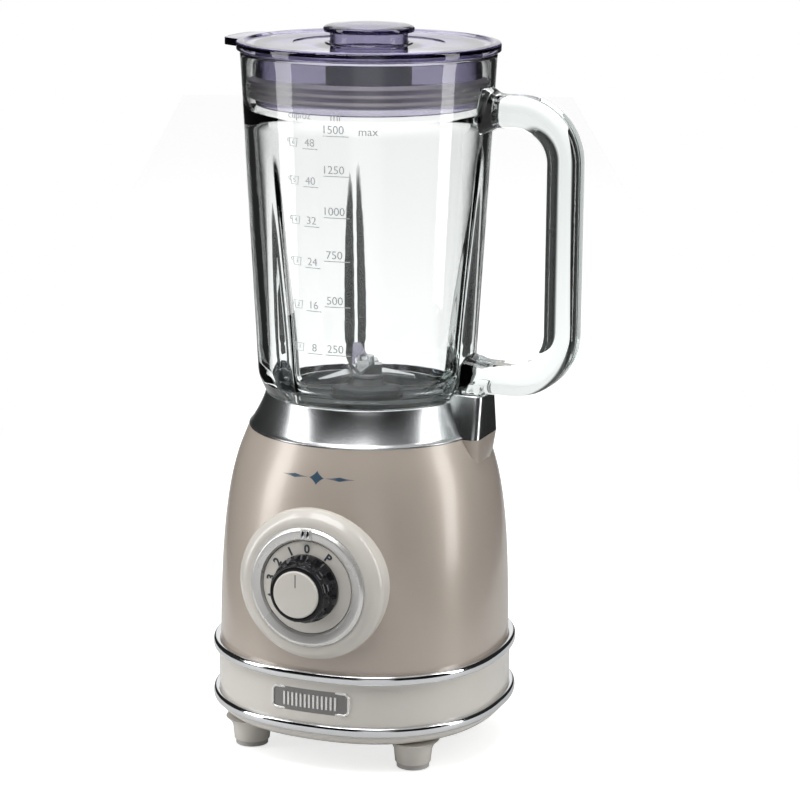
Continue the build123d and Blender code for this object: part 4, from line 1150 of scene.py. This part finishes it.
def weld_tree():
    """Merges double points, then shades smooth all but the sharp edges."""
    tree, entry, leave = new_tree("weld_and_smooth", {"Geometry": "Geometry"})
    merge, angle, faces, edges = (tree.nodes.new("GeometryNode" + kind) for kind in (
        "MergeByDistance", "InputMeshEdgeAngle", "SetShadeSmooth", "SetShadeSmooth"))
    crisp, soft = tree.nodes.new("FunctionNodeCompare"), tree.nodes.new("FunctionNodeBooleanMath")
    crisp.operation, soft.operation, edges.domain = "GREATER_THAN", "NOT", "EDGE"
    set_inputs(merge, {"Distance": 1e-6})
    set_inputs(crisp, {"B": math.radians(32)})
    wire(tree, (entry.outputs["Geometry"], merge.inputs["Geometry"]),
         (merge.outputs["Geometry"], faces.inputs["Geometry"]),
         (faces.outputs["Geometry"], edges.inputs["Geometry"]),
         (angle.outputs["Unsigned Angle"], crisp.inputs["A"]),
         (crisp.outputs["Result"], soft.inputs[0]),
         (soft.outputs[0], edges.inputs["Shade Smooth"]),
         (edges.outputs["Geometry"], leave.inputs["Geometry"]))
    return tree


WELD = weld_tree()
for material, names in KEPT.items():
    for name in names:
        node = NODES[name]
        node.data.materials.clear()
        node.data.materials.append(material)
        node.modifiers.new("weld", "NODES").node_group = WELD
print(sum(len(names) for names in KEPT.values()), "kept nodes finished")

# %% [markdown]
# ## A small ornament
# The front of the housing carries a small printed ornament: a plain lozenge between two
# tapering lines, of our own making. Thin flat shapes are bent onto the housing so that
# they follow its curve.

# %% Ornament on the housing
ORNAMENT_Z = 163.0 * MM


def housing_point(x, height, proud):
    """A point that far across the front of the housing, standing proud of it."""
    share = (height - HOUSING_LOW) / (COLLAR_LOW - HOUSING_LOW)
    half, power, _ = housing_level(share, -proud)
    y = -(half ** power - min(abs(x), half) ** power) ** (1 / power)
    return AXIS + Vector((x, y, height))


def lozenge(name, x_mid, half_wide, half_tall):
    """A thin pointed shape with hollow sides, bent onto the housing."""
    count = 40
    verts = []
    for depth in (0.06 * MM, -0.3 * MM):
        verts.append(housing_point(x_mid, ORNAMENT_Z, depth))
        for k in range(count):
            turn = 2 * math.pi * k / count
            size = squircle_radius(1.0, 0.8, turn)
            verts.append(housing_point(x_mid + half_wide * size * math.cos(turn),
                                       ORNAMENT_Z + half_tall * size * math.sin(turn), depth))
    faces = []
    for k in range(count):
        a, b = 1 + k, 1 + (k + 1) % count
        faces += [(0, a, b), (count + 1, count + 1 + b, count + 1 + a),
                  (a, count + 1 + a, count + 1 + b, b)]
    return new_piece(name, verts, faces)


marks = [lozenge("mark", 0, 4.2 * MM, 3.6 * MM)]
marks += [lozenge("mark", side * 13.0 * MM, 8.0 * MM, 1.1 * MM) for side in (-1, 1)]
settle(join("housing_ornament", marks), BLUE_INK, "base")

# %% [markdown]
# ## Floor and surroundings
# Clear glass shows what surrounds it, so the studio is part of its look. The room is
# bright behind the blender, dark at its sides and dim in front, which draws the dark
# lines along glass edges and chrome. What looks straight into the room sees plain white.
# The floor glows only for what is seen, so it does not fill the dark sides with light.

# %% Floor and world
VIEW_TURN = math.radians(22.13)
FLOOR_HALF, FLOOR_FRONT, FLOOR_BACK = 0.31, -0.7, 3.0
FLOOR_GLOW = 0.72
REAR_GLOW = 0.85
FRONT_LOW, FRONT_HIGH = 0.75, 0.12
SIDE_START, SIDE_END, SIDE_DARK = 0.14, 0.30, 0.02
TOP_LIGHT = 0.6
floor_mesh = bpy.data.meshes.new("studio_floor")
corners = [(-FLOOR_HALF, FLOOR_FRONT), (FLOOR_HALF, FLOOR_FRONT),
           (FLOOR_HALF, FLOOR_BACK), (-FLOOR_HALF, FLOOR_BACK)]
turned_floor = Matrix.Rotation(VIEW_TURN, 4, "Z")
floor_mesh.from_pydata(
    [turned_floor @ Vector((x, y, -0.5 * MM)) for x, y in corners], [], [(0, 1, 2, 3)])
floor = bpy.data.objects.new("studio_floor", floor_mesh)
bpy.context.scene.collection.objects.link(floor)
FLOOR = bpy.data.materials.new("pale_floor")
FLOOR.use_nodes = True
tree = FLOOR.node_tree
floor_shader = tree.nodes["Principled BSDF"]
set_inputs(floor_shader, {"Base Color": (0.6, 0.6, 0.6, 1), "Roughness": 0.7,
                          "Emission Color": (1, 1, 1, 1)})
rays = tree.nodes.new("ShaderNodeLightPath").outputs
seen = add_math(tree, "MAXIMUM", rays["Is Camera Ray"], rays["Is Transmission Ray"])
wire(tree, (add_math(tree, "MULTIPLY", seen, FLOOR_GLOW), floor_shader.inputs["Emission Strength"]))
floor_mesh.materials.append(FLOOR)

world = bpy.data.worlds.new("studio")
bpy.context.scene.world = world
world.use_nodes = True
room = world.node_tree
background = room.nodes["Background"]
where, flat, split = (room.nodes.new("ShaderNode" + kind) for kind in (
    "TexCoord", "Mapping", "SeparateXYZ"))
flat.inputs["Rotation"].default_value = (0, 0, -VIEW_TURN)
wire(room, (where.outputs["Generated"], flat.inputs["Vector"]),
     (flat.outputs["Vector"], split.inputs["Vector"]))
right, away, up = (split.outputs[axis] for axis in "XYZ")
rays = room.nodes.new("ShaderNodeLightPath").outputs


def ramped(source, start, end, low, high):
    """A soft step from low to high as the source goes from start to end."""
    node = room.nodes.new("ShaderNodeMapRange")
    node.interpolation_type = "SMOOTHSTEP"
    set_inputs(node, {"From Min": start, "From Max": end, "To Min": low, "To Max": high})
    wire(room, (source, node.inputs["Value"]))
    return node.outputs["Result"]


ahead = add_math(room, "MAXIMUM", ramped(away, -0.1, 0.45, 0.0, 1.0),
                 ramped(up, 0.05, 0.40, FRONT_LOW, FRONT_HIGH))
sides = ramped(add_math(room, "ABSOLUTE", right), SIDE_START, SIDE_END, 1.0, SIDE_DARK)
lit = add_math(room, "MAXIMUM", add_math(room, "MULTIPLY", ahead, sides),
               ramped(up, 0.62, 0.9, 0.0, TOP_LIGHT))
rear = add_math(room, "MULTIPLY", ramped(away, -0.15, 0.1, REAR_GLOW, 0.0),
                rays["Is Transmission Ray"])
level = add_math(room, "MAXIMUM", lit, rear)
wire(room, (add_math(room, "MAXIMUM", level, rays["Is Camera Ray"]), background.inputs["Strength"]))
background.inputs["Color"].default_value = (1, 1, 1, 1)
print("floor of", len(floor_mesh.vertices), "points, world of", len(room.nodes), "nodes")

# %% [markdown]
# ## Lamps
# Two tall narrow windows left and right give paint and chrome their upright highlights;
# glass does not show them, so its edges stay dark. A soft lamp above the left shoulder
# lights the front, and one behind lifts the rim. Places are given as seen by the camera.

# %% Soft lamps
MIDDLE = AXIS + Vector((0, 0, 0.2))


def around(turn, lift, distance):
    """A place seen from the middle: turn to the right of the camera, lift above the table."""
    angle, rise = math.radians(turn) + VIEW_TURN, math.radians(lift)
    flat = distance * math.cos(rise)
    return MIDDLE + Vector((flat * math.sin(angle), -flat * math.cos(angle), distance * math.sin(rise)))


def softbox(name, place, size, power, through_glass=True):
    """A rectangular lamp aimed at the blender's middle."""
    lamp = bpy.data.lights.new(name, "AREA")
    lamp.shape = "RECTANGLE"
    lamp.size, lamp.size_y = size
    lamp.energy = power
    holder = bpy.data.objects.new(name, lamp)
    holder.location = place
    holder.rotation_euler = (MIDDLE - place).to_track_quat("-Z", "Y").to_euler()
    bpy.context.scene.collection.objects.link(holder)
    holder.visible_transmission = through_glass
    print("lamp", name, power, "W")


softbox("left_window", around(-80, 18, 1.0), (0.34, 1.2), 6.6, through_glass=False)
softbox("right_window", around(74, 18, 1.0), (0.26, 1.2), 5.6, through_glass=False)
softbox("top_light", around(-25, 66, 1.3), (0.9, 0.7), 10)
softbox("back_light", around(180, 50, 1.4), (1.4, 0.6), 5)

# %% [markdown]
# ## Camera
# A product view: a long lens from a little above the dial, turned to the blender's
# right. The shift moves the view on the film instead of tilting the camera, so the
# tower's sides stay upright.

# %% Camera
camera = bpy.data.objects.new("camera", bpy.data.cameras.new("camera"))
bpy.context.scene.collection.objects.link(camera)
bpy.context.scene.camera = camera
LIFT = math.radians(12.63)
DISTANCE = 1.5896
back = Vector((math.sin(VIEW_TURN) * math.cos(LIFT), -math.cos(VIEW_TURN) * math.cos(LIFT),
               math.sin(LIFT)))
camera.location = MIDDLE + back * DISTANCE
roll = Matrix.Rotation(math.radians(0.36), 4, "Z")
camera.rotation_euler = ((-back).to_track_quat("-Z", "Y").to_matrix().to_4x4() @ roll).to_euler()
camera.data.sensor_width = 36.0
camera.data.lens = 128.8
camera.data.shift_x = 0.0415
camera.data.shift_y = -0.020
camera.data.clip_end = 50
bpy.context.scene.view_settings.view_transform = "Standard"
print("camera", camera.data.lens, "mm,", DISTANCE, "m away")
